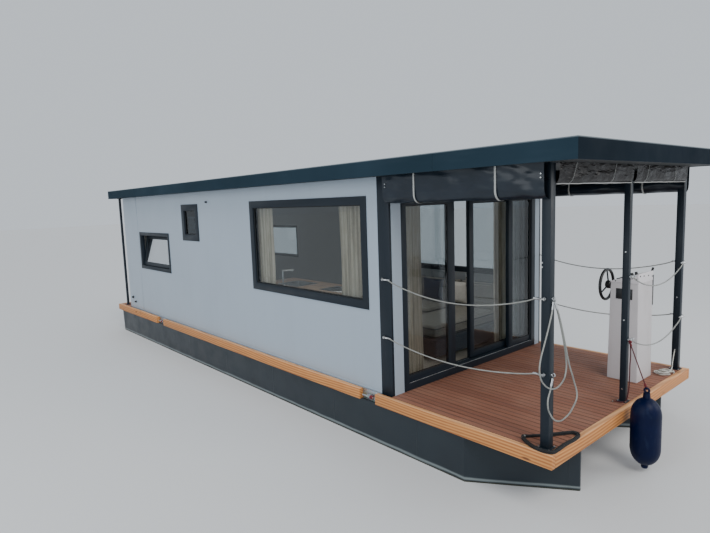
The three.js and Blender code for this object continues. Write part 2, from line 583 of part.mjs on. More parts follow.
for (const [name, from, to, sag] of GUARD_ROPES) add(name, tube(slack(from, to, sag), ROPE, 36), ropeWhite);

// The two gate ropes are unhooked at the middle post and hang as loops from the starboard post.
// Each point is [sideways, height above the deck, out] by a vertical plane set askew to the bow.
const GATE_EYE = [postA.x + postA.half + EYE_OUT, postA.y];
const GATE_WAY = [0.6, 0.8];
const GATE_ROPES = [
  ['rope_gate_upper', [
    [-7, 1180, 0], [-20, 1120, 14], [-55, 990, 30], [-91, 852, 34], [-118, 740, 34], [-124, 640, 34],
    [-92, 550, 34], [-22, 507, 34], [44, 545, 34], [82, 647, 32], [80, 760, 30], [62, 884, 26],
    [40, 1010, 18], [20, 1110, 8], [7, 1180, 0],
  ]],
  ['rope_gate_lower', [
    [0, 1186, 13], [22, 1080, 34], [56, 900, 52], [94, 702, 58], [133, 568, 58], [157, 449, 58],
    [133, 374, 58], [76, 290, 58], [8, 258, 56], [-44, 310, 48], [-61, 397, 38], [-34, 500, 24],
    [-7, 580.4, 0],
  ]],
];
for (const [name, points] of GATE_ROPES) {
  const route = points.map(([along, height, out]) => [
    GATE_EYE[0] + GATE_WAY[0] * along + out * GATE_WAY[1],
    GATE_EYE[1] + GATE_WAY[1] * along - out * GATE_WAY[0],
    DECK + height,
  ]);
  add(name, tube(route, ROPE, 48), ropeWhite);
}

// Spare rope lies coiled on the deck: a black one round the foot of the starboard post, partly on
// the rails, and a white one beside the port post. Points are [x from the bow rail, y].
const COIL_STEPS = Array.from({ length: 60 }, (_, i) => i / 60);
function coil(points, wide, tall) {
  const route = new THREE.CatmullRomCurve3(
    points.map(([x, y]) => new THREE.Vector3(BOW + x, y, 0)), true, 'centripetal',
  );
  const edge = (out) => COIL_STEPS.map((t) => {
    const { x, y } = route.getPoint(t);
    const way = route.getTangent(t);
    return new THREE.Vector2(x + way.y * out, y - way.x * out);
  });
  const band = new THREE.Shape(edge(wide / 2));
  band.holes.push(new THREE.Path(edge(-wide / 2)));
  return solid(new THREE.ExtrudeGeometry(band, { depth: tall, bevelEnabled: false }).translate(0, 0, DECK + FIT));
}
const BLACK_COIL = [
  [-326, -1360], [-238, -1436], [-150, -1474], [-66, -1478], [-22, -1452], [-16, -1380], [-20, -1250], [-14, -1100],
  [-32, -1014], [-80, -1006], [-138, -1086], [-210, -1205], [-298, -1312],
];
const WHITE_COIL = [
  [-136, 1016], [-92, 1050], [-74, 1120], [-78, 1200], [-106, 1262], [-146, 1282], [-184, 1246],
  [-196, 1170], [-186, 1085], [-164, 1030],
];
add('rope_coil_black', coil(BLACK_COIL, 30, 27), blackRope);
add('rope_coil_white', coil(WHITE_COIL, 26, 33), ropeWhite);

// The fender's lanyard runs taut from the middle post's lower eye to the eye in the fender's neck
const LANYARD = 5;
const EYE_DROP = 18.6;
const lanyardFrom = [postB.x + postB.half + EYE_OUT, postB.y, eyeLow - EYE_DROP];
const lanyardTo = [FENDER_X, FENDER_Y, FENDER_Z[1] + 70];
const lanyard = bar(lanyardFrom, lanyardTo, LANYARD, 8);
add('fender', fenderBody.add(fenderEye).subtract(fenderHole).add(lanyard), fenderNavy);

// Outboard motor: a transom board on two beams, clamp cheeks, swivel bracket, motor and propeller
const TRANSOM = STERN - 330;    // aft face of the transom board
const TRANSOM_TOP = 800;
const PIVOT = [TRANSOM - 45, 822];
const CHEEK_Y = [72, 88];
const TILT_PIN = 12;
const bracketParts = [
  block([TRANSOM, TRANSOM + 40], [-250, 250], [390, TRANSOM_TOP]),
  block([TRANSOM + 39, TRANSOM + 70], [-90, 90], [640, TRANSOM_TOP + 40]),
  block([TRANSOM - 30, TRANSOM + 70], [-88, 88], [TRANSOM_TOP - 1, TRANSOM_TOP + 8]),
];
for (const side of [-1, 1]) {
  const beamY = [side * 170, side * 240].sort((a, b) => a - b);
  bracketParts.push(block([TRANSOM + 30, STERN + 900], beamY, [HULL_TOP - 67, HULL_TOP]));
  const cheekY = CHEEK_Y.map((y) => side * y).sort((a, b) => a - b);
  bracketParts.push(sideplate([
    [TRANSOM + 1, 560], [TRANSOM + 1, TRANSOM_TOP + 8], [PIVOT[0] + 30, PIVOT[1] + 28],
    [PIVOT[0] - 26, PIVOT[1] + 26], [PIVOT[0] - 26, PIVOT[1] - 30], [TRANSOM - 30, 600],
  ], cheekY[0], cheekY[1]));
}
const pinHole = bar([PIVOT[0], -120, PIVOT[1]], [PIVOT[0], 120, PIVOT[1]], TILT_PIN + FIT, 24);
const gapBetweenCheeks = block([TRANSOM - 200, TRANSOM - 1], [-CHEEK_Y[0], CHEEK_Y[0]], [500, 900]);
add('motor_bracket', joined(bracketParts).subtract(pinHole).subtract(gapBetweenCheeks), frameSteel);

const STEER_X = TRANSOM - 115;
const STEER_PIN = 13;
const SWIVEL_Z = [470, 852];
const swivelParts = [
  block([STEER_X - 34, STEER_X + 38], [-38, 38], SWIVEL_Z),
  block([STEER_X, TRANSOM - 20], [-37, 37], [760, SWIVEL_Z[1] - 1]),
  block([STEER_X, TRANSOM - 24], [-64, 64], [PIVOT[1] - 22, PIVOT[1] + 22]),
  bar([PIVOT[0], -CHEEK_Y[1], PIVOT[1]], [PIVOT[0], CHEEK_Y[1], PIVOT[1]], TILT_PIN, 24),
];
const steerHole = bar([STEER_X, 0, SWIVEL_Z[0] - 20], [STEER_X, 0, SWIVEL_Z[1] + 20], STEER_PIN + FIT, 24);
add('motor_swivel', joined(swivelParts).subtract(steerHole), motorGrey);

// The motor turns on a pin through the swivel bracket; its leg, plate, gearcase and skeg are one casting
const PLATE_Z = 278;
const PROP_Z = 155;
const PROP_X = TRANSOM - 405;   // fore face of the propeller
const cowlSide = [
  [TRANSOM - 110, 905], [TRANSOM - 84, 1000], [TRANSOM - 90, 1190], [TRANSOM - 130, 1275], [TRANSOM - 330, 1300],
  [TRANSOM - 440, 1262], [TRANSOM - 482, 1120], [TRANSOM - 462, 960], [TRANSOM - 400, 890],
];
const gearcase = new THREE.LatheGeometry([
  [0, PROP_X - TRANSOM + FIT], [40, PROP_X - TRANSOM + FIT], [46, -330], [46, -230], [34, -180], [14, -150], [0, -146],
].map(([r, x]) => new THREE.Vector2(r, x)), 20);
gearcase.rotateZ(-Math.PI / 2);
const motorParts = [
  sideplate(cowlSide, -165, 165, 36),
  block([TRANSOM - 330, TRANSOM - 172], [-62, 62], [780, 920]),
  sideplate([[TRANSOM - 320, 860], [TRANSOM - 172, 860], [TRANSOM - 180, 400], [TRANSOM - 200, PLATE_Z],
    [TRANSOM - 330, PLATE_Z], [TRANSOM - 330, 400]], -34, 34),
  sideplate([[TRANSOM - 200, PLATE_Z + 20], [TRANSOM - 190, 190], [TRANSOM - 230, PROP_Z], [TRANSOM - 370, PROP_Z],
    [TRANSOM - 340, PLATE_Z + 20]], -22, 22),
  plate([[TRANSOM - 190, -30], [TRANSOM - 190, 30], [TRANSOM - 260, 72], [TRANSOM - 450, 88], [TRANSOM - 478, 50],
    [TRANSOM - 478, -50], [TRANSOM - 450, -88], [TRANSOM - 260, -72]].reverse(), PLATE_Z - 4, PLATE_Z + 4),
  solid(gearcase.translate(TRANSOM, 0, PROP_Z)),
  sideplate([[TRANSOM - 240, PROP_Z - 20], [TRANSOM - 300, 34], [TRANSOM - 360, 30], [TRANSOM - 375, PROP_Z - 20]], -5, 5),
  block([TRANSOM - 180, STEER_X + 34], [-36, 36], [SWIVEL_Z[1] + 6, 915]),
  block([TRANSOM - 190, STEER_X + 30], [-36, 36], [SWIVEL_Z[0] - 40, SWIVEL_Z[0] - 6]),
  bar([STEER_X, 0, SWIVEL_Z[0] - 30], [STEER_X, 0, SWIVEL_Z[1] + 20], STEER_PIN, 24),
];
add('outboard_motor', joined(motorParts), motorGrey);

const PROP_RADIUS = 117;
const HUB_LONG = 76;
const propParts = [bar([PROP_X - HUB_LONG, 0, PROP_Z], [PROP_X, 0, PROP_Z], 34, 20)];
for (const turn of [0, 120, 240]) {
  const blade = new THREE.Shape();
  blade.moveTo(20, -18);
  blade.quadraticCurveTo(70, -62, PROP_RADIUS - 14, -34);
  blade.quadraticCurveTo(PROP_RADIUS + 2, 2, PROP_RADIUS - 20, 36);
  blade.quadraticCurveTo(64, 52, 20, 22);
  const shape = new THREE.ExtrudeGeometry(blade, { depth: 7, bevelEnabled: false, curveSegments: 6 });
  shape.translate(0, 0, -3.5).rotateX(THREE.MathUtils.degToRad(32));
  shape.rotateY(Math.PI / 2).rotateX(THREE.MathUtils.degToRad(turn));
  propParts.push(solid(shape.translate(PROP_X - HUB_LONG / 2, 0, PROP_Z)));
}
add('propeller', joined(propParts), alloy);

// Inside the cabin, as seen through the glass
const onFloor = FLOOR_TOP + FIT;
const SOFA_X = [BOW - 4300, BOW - 2150];
const SOFA_Y = [505, WALL_IN - 6];
const CHAISE_X = [BOW - 2900, BOW - 2150];
const CHAISE_Y = -250;
const SEAT_LOW = FLOOR_TOP + 260;
const SEAT_TOP = FLOOR_TOP + 420;
const BACK_Y = SOFA_Y[1] - 200;
const sofaPart = (high, zs) => block(SOFA_X, [SOFA_Y[0], high], zs).add(block(CHAISE_X, [CHAISE_Y, high], zs));
const sofaFrame = sofaPart(SOFA_Y[1], [onFloor, SEAT_LOW]);
add('sofa_seat', sofaFrame.add(sofaPart(BACK_Y - FIT, [SEAT_LOW - 1, SEAT_TOP])), cloth);
add('sofa_back', block(SOFA_X, [BACK_Y, SOFA_Y[1]], [SEAT_LOW + FIT, FLOOR_TOP + 780]), cloth);
// name, x range from the bow rail, material
const PILLOWS = [['pillow_navy', [-3500, -3060], navyCloth], ['pillow_white', [-3010, -2570], whiteCloth]];
for (const [name, x, fabric] of PILLOWS) {
  add(name, block(span(x, BOW), [BACK_Y - 140, BACK_Y - 4], [SEAT_TOP + FIT, SEAT_TOP + 380]), fabric);
}

const GALLEY_X = [BOW - 4400, BOW - 2620];
const galley = block(GALLEY_X, [-1270, -720], [onFloor, FLOOR_TOP + 860])
  .add(block([GALLEY_X[0] - 10, GALLEY_X[1] + 10], [-1275, -700], [FLOOR_TOP + 859, FLOOR_TOP + 900]));
add('galley', galley, wood);

const CURTAIN_TOP = DECK + 2110;
function curtainPair(rodFrom, rodTo, drapes, brackets = []) {
  const parts = [bar(rodFrom, rodTo, 11, 12), ...brackets];
  for (const [xs, ys, low] of drapes) parts.push(block(xs, ys, [low, CURTAIN_TOP]));
  return joined(parts);
}
const sideRodY = -WALL_IN + 42;
add('curtains_starboard', curtainPair(
  [BOW - 4420, sideRodY, CURTAIN_TOP - 12], [BOW - 1990, sideRodY, CURTAIN_TOP - 12],
  [[[BOW - 4375, BOW - 3930], [sideRodY - 30, sideRodY + 30], DECK + 930],
    [[BOW - 2620, BOW - 2100], [sideRodY - 30, sideRodY + 30], DECK + 930]],
  [BOW - 4410, BOW - 2020].map((x) => (
    block([x, x + 20], [-WALL_IN + FIT, sideRodY + 6], [CURTAIN_TOP - 30, CURTAIN_TOP - 6])
  )),
), linen);
const doorRodX = FRONT - SLIDE_DEEP - 75;
add('curtains_door', curtainPair(
  [doorRodX, -WALL_IN + FIT, CURTAIN_TOP - 12], [doorRodX, WALL_IN - FIT, CURTAIN_TOP - 12],
  [[[doorRodX - 32, doorRodX + 32], [-1290, -710], FLOOR_TOP + 12],
    [[doorRodX - 32, doorRodX + 32], [690, 1300], FLOOR_TOP + 12]],
), linen);

export default boat;
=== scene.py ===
import math

import bmesh
import bpy
from mathutils import Matrix, Vector, noise
from mathutils.bvhtree import BVHTree


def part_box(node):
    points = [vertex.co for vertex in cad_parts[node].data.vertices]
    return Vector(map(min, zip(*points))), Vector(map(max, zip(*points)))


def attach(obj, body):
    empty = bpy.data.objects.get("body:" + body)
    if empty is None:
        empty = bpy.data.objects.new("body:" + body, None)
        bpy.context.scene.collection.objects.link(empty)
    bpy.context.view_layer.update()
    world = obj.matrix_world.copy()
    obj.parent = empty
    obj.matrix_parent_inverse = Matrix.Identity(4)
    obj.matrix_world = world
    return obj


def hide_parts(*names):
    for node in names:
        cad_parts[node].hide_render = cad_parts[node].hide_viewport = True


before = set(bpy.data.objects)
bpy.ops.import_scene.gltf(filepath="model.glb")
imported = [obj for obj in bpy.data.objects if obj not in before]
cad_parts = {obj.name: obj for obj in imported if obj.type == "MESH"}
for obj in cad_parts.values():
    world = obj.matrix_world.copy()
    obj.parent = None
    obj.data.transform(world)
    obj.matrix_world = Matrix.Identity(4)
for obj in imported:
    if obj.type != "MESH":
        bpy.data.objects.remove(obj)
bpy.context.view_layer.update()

# The camera stands on the quay off the starboard bow, a little above head height, and sees the
# whole boat with a wide lens. Its place and turn were fitted to the boat's own edges.
EYE = Vector((7.1223, -5.2377, 2.8662))
HEADING, PITCH, ROLL = (math.radians(angle) for angle in (140.335, -6.858, -2.206))
ahead = Vector((math.cos(HEADING) * math.cos(PITCH), math.sin(HEADING) * math.cos(PITCH), math.sin(PITCH)))
level = Vector((math.sin(HEADING), -math.cos(HEADING), 0))
plumb = level.cross(ahead)
right = math.cos(ROLL) * level + math.sin(ROLL) * plumb
up = math.cos(ROLL) * plumb - math.sin(ROLL) * level
view = bpy.data.cameras.new("camera")
view.lens = 27.425
view.shift_x = 0.0308
camera = bpy.data.objects.new("camera", view)
camera.matrix_world = Matrix.Translation(EYE) @ Matrix((right, up, -ahead)).transposed().to_4x4()
bpy.context.scene.collection.objects.link(camera)
bpy.context.scene.camera = camera

# The guard ropes are grey-white cord in a clear plastic sheath, each end held in a swaged sleeve
# with a snap hook. Six hang slack between the rope eyes of the posts, and the two of the boarding
# gate are unhooked at the middle post and hang in loops from the starboard post.


class Value:
    """A shader socket that takes part in sums and comparisons."""

    def __init__(self, finish, socket):
        self.finish = finish
        self.socket = socket

    def maths(self, operation, first, second=0.0):
        return self.finish.node("Math", {"operation": operation}, {0: first, 1: second})

    def __add__(self, other):
        return self.maths("ADD", self, other)

    def __pow__(self, other):
        return self.maths("POWER", self, other)

    def __sub__(self, other):
        return self.maths("SUBTRACT", self, other)

    def __rsub__(self, other):
        return self.maths("SUBTRACT", other, self)

    def __mul__(self, other):
        return self.maths("MULTIPLY", self, other)

    def __gt__(self, other):
        return self.maths("GREATER_THAN", self, other)

    def __lt__(self, other):
        return self.maths("LESS_THAN", self, other)

    __radd__ = __add__
    __rmul__ = __mul__

    def part(self):
        """What is left of the value after its whole number."""
        return self.maths("FRACT", self)

    def whole(self):
        return self.maths("FLOOR", self)

    def size(self):
        return self.maths("ABSOLUTE", self)

    def off_middle(self):
        """How far the value is from the middle between two whole numbers: 0.5 at a whole number."""
        return (self.part() - 0.5).size()

    def chance(self):
        """A number between 0 and 1 that is another for each value."""
        return self.finish.node("TexWhiteNoise", {"noise_dimensions": "1D"}, {"W": self})

    def wave(self):
        """A sine between -1 and 1 with one turn for each whole number."""
        return self.maths("SINE", self * math.tau)


class Finish:
    """A material on one Principled shader, worked out from the place of each point."""

    def __init__(self, name, plain):
        self.material = bpy.data.materials.new(name)
        self.material.use_nodes = True
        self.tree = self.material.node_tree
        self.shader = self.tree.nodes["Principled BSDF"]
        self.relief = None
        for socket, value in plain.items():
            self.shader.inputs[socket].default_value = value

    def node(self, kind, settings=None, inputs=None, output=0):
        made = self.tree.nodes.new("ShaderNode" + kind)
        for setting, value in (settings or {}).items():
            setattr(made, setting, value)
        for socket, value in (inputs or {}).items():
            self.join(made.inputs[socket], value)
        return Value(self, made.outputs[output])

    def join(self, socket, value):
        if isinstance(value, Value):
            self.tree.links.new(value.socket, socket)
        else:
            socket.default_value = value

    def set(self, socket, value):
        self.join(self.shader.inputs[socket], value)

    def axis(self, letter, source="Object"):
        """X, Y or Z of a point's place, or of its Normal or UV."""
        return self.node("SeparateXYZ", None, {0: self.node("TexCoord", output=source)}, letter)

    def noise(self, size, stretch=(1, 1, 1), detail=3.0, seed=0.0):
        """Cloudy noise with blots about size metres wide, drawn out along the axes by stretch."""
        scale = [1 / (size * long) for long in stretch]
        moved = {"Vector": self.node("TexCoord", output="Object"), "Location": (seed,) * 3, "Scale": scale}
        return self.node("TexNoise", None, {"Vector": self.node("Mapping", None, moved), "Scale": 1.0,
                                            "Detail": detail})

    def cells(self, scale, output=0):
        """How far a point is from the middle of its cell, or the cell's colour."""
        inputs = {"Vector": self.node("TexCoord", output="Object"), "Scale": scale}
        return self.node("TexVoronoi", {"feature": "F1"}, inputs, output)

    def between(self, value, low, high, to_low=0.0, to_high=1.0):
        """Spreads low to high over the other two values and holds it at the ends."""
        return self.node("MapRange", None, {0: value, 1: low, 2: high, 3: to_low, 4: to_high})

    def mix(self, share, first, second):
        """The first colour where the share is 0 and the second where it is 1."""
        return self.node("Mix", {"data_type": "RGBA"}, {0: share, 6: first, 7: second}, 2)

    def tint(self, share, first, second):
        """Base colour from one colour code where the share is 0 to another where it is 1."""
        self.set("Base Color", self.mix(share, shade(first), shade(second)))

    def roughen(self, cloud, least, most):
        """Roughness that wanders between two values with a noise."""
        self.set("Roughness", self.between(cloud, 0.3, 0.7, least, most))

    def bump(self, height, deep):
        """Relief in which a height of 1 stands deep metres proud."""
        inputs = {"Strength": 1.0, "Distance": deep, "Height": height}
        if self.relief:
            inputs["Normal"] = self.relief
        self.relief = self.node("Bump", None, inputs)
        self.set("Normal", self.relief)


def shade(code):
    """A colour from its usual six-figure code, made linear for the shader."""
    parts = [((code >> shift) & 255) / 255 for shift in (16, 8, 0)]
    return (*[part / 12.92 if part <= 0.04045 else ((part + 0.055) / 1.055) ** 2.4 for part in parts], 1.0)


def cloudy(name, plain, tones, rough=None, grain=()):
    """A finish in patches of two colours and roughnesses: each noise's size comes before its two values."""
    made = Finish(name, plain)
    made.tint(made.noise(tones[0]), *tones[1:])
    if rough:
        made.roughen(made.noise(rough[0]), *rough[1:])
    if grain:
        made.bump(made.noise(grain[0]), grain[1])
    return made


def stand_in(made, node, slot):
    """Puts an object in the place of a solid, which it hides; the slot is not used."""
    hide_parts(node)
    return made


def placed(name, data):
    """A new object in the scene, made of this mesh, curve or light."""
    made = bpy.data.objects.new(name, data)
    bpy.context.scene.collection.objects.link(made)
    return made


def piece(name, shape, finish, body="boat", angle=35):
    """Makes a bmesh an object with its material, smooth up to an angle, on a body of the boat."""
    mesh = bpy.data.meshes.new(name)
    shape.to_mesh(mesh)
    shape.free()
    mesh.materials.append(finish.material)
    mesh.shade_smooth()
    mesh.set_sharp_from_angle(angle=math.radians(angle))
    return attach(placed(name, mesh), body)


def assembled(node, slot, parts, body="boat", angle=35):
    """Pieces that stand for one node: for each, a word, its shape, its finish and any slot of its own."""
    return [stand_in(piece(f"{node}_{word}", shape, finish, body, angle), node, *(own or [slot]))
            for word, shape, finish, *own in parts]


def blanks(count):
    """So many new, empty shapes."""
    return [bmesh.new() for _ in range(count)]


def rod(shape, start, end, radius, tip=None, sides=20):
    """A round bar between two points, tapered where a second radius is given."""
    start, end = Vector(start), Vector(end)
    turn = (end - start).to_track_quat("Z", "Y").to_matrix().to_4x4()
    bmesh.ops.create_cone(
        shape, cap_ends=True, segments=sides, radius1=radius, radius2=radius if tip is None else tip,
        depth=(end - start).length, matrix=Matrix.Translation((start + end) / 2) @ turn)


def turned(profile, steps=32, closed=False):
    """A shape turned about Z from pairs of radius and height."""
    shape = bmesh.new()
    points = [shape.verts.new((radius, 0, height)) for radius, height in profile]
    pairs = zip(points, points[1:] + (points[:1] if closed else []))
    edges = [shape.edges.new(pair) for pair in pairs]
    bmesh.ops.spin(shape, geom=points + edges, cent=(0, 0, 0), axis=(0, 0, 1), angle=math.tau, steps=steps,
                   use_merge=True)
    bmesh.ops.remove_doubles(shape, verts=shape.verts, dist=1e-6)
    return shape


def ease(shape, edges, soft, segments=2, clamp=False):
    """Rounds edges off by soft."""
    bmesh.ops.bevel(shape, geom=edges, offset=soft, offset_type="OFFSET", segments=segments, profile=0.5,
                    affect="EDGES", material=-1, clamp_overlap=clamp)


def thicken(shape, faces, way):
    """Draws flat faces out along way into a solid."""
    drawn = bmesh.ops.extrude_face_region(shape, geom=faces)["geom"]
    moved = [item for item in drawn if isinstance(item, bmesh.types.BMVert)]
    bmesh.ops.translate(shape, verts=moved, vec=way)
    bmesh.ops.recalc_face_normals(shape, faces=shape.faces)


def add(shape, part, place=Matrix.Identity(4)):
    """Sets a finished shape in its place and adds it to another."""
    bmesh.ops.transform(part, matrix=place, verts=part.verts)
    bmesh.ops.recalc_face_normals(part, faces=part.faces)
    loose = bpy.data.meshes.new("loose")
    part.to_mesh(loose)
    part.free()
    shape.from_mesh(loose)
    bpy.data.meshes.remove(loose)


def facing(centre, way):
    """The place of a turned shape whose axis points along way."""
    return Matrix.Translation(Vector(centre)) @ Vector(way).to_track_quat("Z", "Y").to_matrix().to_4x4()


def ring(shape, centre, way, radius, thick, sides=10, steps=28):
    """A ring of round wire whose hole looks along way."""
    wire = [(radius + thick * math.cos(math.tau * i / sides), thick * math.sin(math.tau * i / sides))
            for i in range(sides)]
    add(shape, turned(wire, steps, closed=True), facing(centre, way))


def line(name, points, radius, finish, body="boat", smooth=10):
    """A round cord on one smooth line through the points."""
    curve = bpy.data.curves.new(name, "CURVE")
    curve.dimensions = "3D"
    curve.bevel_depth = radius
    curve.bevel_resolution = 3
    curve.resolution_u = smooth
    curve.use_fill_caps = True
    spline = curve.splines.new("BEZIER")
    spline.bezier_points.add(len(points) - 1)
    for knot, point in zip(spline.bezier_points, points):
        knot.co = point
        knot.handle_left_type = knot.handle_right_type = "AUTO"
    curve.materials.append(finish.material)
    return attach(placed(name, curve), body)


def length_of(points):
    """The length of a line from point to point."""
    return sum((Vector(b) - Vector(a)).length for a, b in zip(points, points[1:]))


def laid_rope(name, turns, dark, light, plain):
    """Rope of twisted strands, which make so many turns over its whole length."""
    rope = Finish(name, plain)
    twist = (rope.axis("X", "UV") * 3 + rope.axis("Y", "UV") * turns).wave()
    # The grooves between the strands are painted darker, as painted shade.
    rope.tint(rope.between(twist * 0.5 + rope.noise(0.06), 0.2, 1.0), dark, light)
    rope.bump(twist, 0.0006)
    return rope


rope_sheath = laid_rope("rope_sheath", 70, 0x787A77, 0xB4B5AE,
                        {"Roughness": 0.32, "Coat Weight": 0.5, "Coat Roughness": 0.15})

bright_steel = Finish("bright_steel", {"Metallic": 1.0, "Base Color": shade(0xC9CBCC)})
bright_steel.roughen(bright_steel.noise(0.01), 0.18, 0.42)

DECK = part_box("terrace_deck")[1].z
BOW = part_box("rail_bow")[1].x
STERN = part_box("rail_stern")[0].x
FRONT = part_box("wall_fore")[1].x
WALL_OUT = 1.415
# How far apart two pieces stand that only touch
APART = 0.0003
ROPE = 0.006
SIDES = ((-1, "starboard"), (1, "port"))
EYE_HEIGHTS = (DECK + 0.605, DECK + 1.200)
EYE_OUT = 0.016
EYE_RING, EYE_WIRE = 0.013, 0.004
HOOK_LONG, HOOK_BESIDE = 0.024, 0.0125
RING_AHEAD, RING_SIDE, RING_DROP = 0.0223, 0.0038, 0.008
# name: x from the bow rail, y, width, and the sides that carry rope eyes
ROOF_POSTS = {
    "post_starboard": (-0.106, -1.388, 0.072, ((0, -1), (1, 0))),
    "post_middle": (-0.100, 0.019, 0.056, ((1, 0),)),
    "post_port": (-0.104, 1.392, 0.068, ((1, 0), (0, 1))),
}
CORNER_EYE_X = FRONT - 0.095
corner_out = WALL_OUT + EYE_OUT


def slack(start, end, sag, count=15):
    """A rope from eye to eye whose middle hangs sag lower and whose ends leave straight."""
    start, end = Vector(start), Vector(end)
    lead = HOOK_LONG / (end - start).length
    points = [start]
    for i in range(count):
        t = i / (count - 1)
        point = start.lerp(end, lead + t * (1 - 2 * lead))
        points.append(point - Vector((0, 0, sag * 4 * t * (1 - t))))
    return points + [end]


def snap_hook(shape, eye, way, out):
    """The hook through a rope eye, its swivel barrel and the sleeve swaged on the rope."""
    eye, way = Vector(eye), Vector(way).normalized()
    beside = Vector(out) * HOOK_BESIDE
    ring(shape, eye + way * 0.012 + beside, (0, 0, 1), 0.0150, 0.0026)
    barrel, neck, sleeve, rope_out = (eye + way * reach for reach in (0.026, 0.048, 0.052, 0.088))
    rod(shape, barrel + beside, neck, 0.0085, 0.0095)
    rod(shape, neck, sleeve, 0.0060)
    rod(shape, sleeve, rope_out, 0.0092, 0.0078)


def terrace_rope(name, points, metal):
    """A guard rope and the metal on its ends."""
    rope = stand_in(line(name + "_cord", points, ROPE, rope_sheath), name, "rope")
    hooks = piece(name + "_hooks", metal, bright_steel)


def guard_rope(name, points, first, last, way, out):
    """A rope between two eyes, with the way from the first to the last and the way out beside them."""
    metal = bmesh.new()
    snap_hook(metal, first, way, out)
    snap_hook(metal, last, -way, out)
    terrace_rope(name, points, metal)


def bow_eye(post, height):
    """The middle of a rope eye on a post's fore face."""
    x, y, wide, _ = ROOF_POSTS[post]
    return Vector((BOW + x + wide / 2 + EYE_OUT, y, height))


BOW_SAG = 0.150
for height, word, side_sag in zip(EYE_HEIGHTS, ("lower", "upper"), (0.098, 0.138)):
    for side, hand in SIDES:
        x, y, wide, _ = ROOF_POSTS["post_" + hand]
        first = Vector((CORNER_EYE_X, side * corner_out, height))
        last = Vector((BOW + x, y + side * (wide / 2 + EYE_OUT), height))
        way = (last - first).normalized()
        points = slack(first + way * RING_AHEAD, last - way * RING_AHEAD, side_sag)
        guard_rope(f"rope_{hand}_{word}", points, first, last, way, (0, side, 0))
    first, last = bow_eye("post_middle", height), bow_eye("post_port", height)
    start, end = first + Vector((0, RING_SIDE, -RING_DROP)), last - Vector((0, RING_SIDE, RING_DROP))
    way = (end - start).normalized()
    guard_rope(f"rope_bow_{word}", slack(start, end, BOW_SAG), first, last, way, (1, 0, 0))

# Each point of a loop is its way along, height above the deck and way out of an upright plane
# that stands askew to the bow.
GATE_WAY = (0.6, 0.8)
GATE_ROPES = {
    "rope_gate_upper": (
        (-0.007, 1.180, 0), (-0.020, 1.120, 0.014), (-0.055, 0.990, 0.030), (-0.091, 0.852, 0.034),
        (-0.118, 0.740, 0.034), (-0.124, 0.640, 0.034), (-0.092, 0.550, 0.034), (-0.022, 0.507, 0.034),
        (0.044, 0.545, 0.034), (0.082, 0.647, 0.032), (0.080, 0.760, 0.030), (0.062, 0.884, 0.026),
        (0.040, 1.010, 0.018), (0.020, 1.110, 0.008), (0.007, 1.180, 0)),
    "rope_gate_lower": (
        (0, 1.186, 0.013), (0.022, 1.080, 0.034), (0.056, 0.900, 0.052), (0.094, 0.702, 0.058),
        (0.133, 0.568, 0.058), (0.157, 0.449, 0.058), (0.133, 0.374, 0.058), (0.076, 0.290, 0.058),
        (0.008, 0.258, 0.056), (-0.044, 0.310, 0.048), (-0.061, 0.397, 0.038), (-0.034, 0.500, 0.024),
        (-0.007, 0.5804, 0)),
}
gate_eye = bow_eye("post_starboard", DECK)
gate_frame = Matrix(((GATE_WAY[0], GATE_WAY[1], 0), (GATE_WAY[1], -GATE_WAY[0], 0), (0, 0, 1)))
for name, steps in GATE_ROPES.items():
    points = [gate_eye + gate_frame @ Vector((along, out, height)) for along, height, out in steps]
    metal = bmesh.new()
    for end, after in ((points[0], points[1]), (points[-1], points[-2])):
        way = (after - end).normalized()
        rod(metal, end + way * 0.004, end + way * 0.030, 0.0095, 0.0085)
        rod(metal, end + way * 0.030, end + way * 0.064, 0.0090, 0.0075)
    terrace_rope(name, points, metal)

# Spare rope lies coiled on the deck: black rope round the foot of the starboard post, partly out
# on the rails, and white rope beside the port post. The rope's ends are whipped with twine.
BLACK_COIL = (
    (-0.326, -1.360), (-0.238, -1.436), (-0.150, -1.474), (-0.066, -1.478), (-0.022, -1.452),
    (-0.016, -1.380), (-0.020, -1.250), (-0.014, -1.100), (-0.032, -1.014), (-0.080, -1.006),
    (-0.138, -1.086), (-0.210, -1.205), (-0.298, -1.312))
# The white rope's last stretch, up to a stud on the port post, with the height above the deck
WHITE_TAIL = ((-0.080, 1.215, 0.060), (-0.092, 1.262, 0.104), (-0.098, 1.300, 0.150), (-0.102, 1.328, 0.190),
              (-0.104, 1.352, 0.222))
COIL_STEPS = 40


def on_loop(points, share):
    """A point on the smooth closed loop through the points, at a share of the way round."""
    place = share % 1 * len(points)
    first = int(place)
    a, b, c, d = (Vector(points[(first + step) % len(points)]) for step in (-1, 0, 1, 2))
    ab, bc, cd = ((far - near).length ** 0.5 for near, far in ((a, b), (b, c), (c, d)))
    leave = ((b - a) / ab - (c - a) / (ab + bc) + (c - b) / bc) * bc
    arrive = ((c - b) / bc - (d - b) / (bc + cd) + (d - c) / cd) * bc
    t = place - first
    return (b * (2 * t ** 3 - 3 * t ** 2 + 1) + leave * (t ** 3 - 2 * t ** 2 + t)
            + c * (3 * t ** 2 - 2 * t ** 3) + arrive * (t ** 3 - t ** 2))


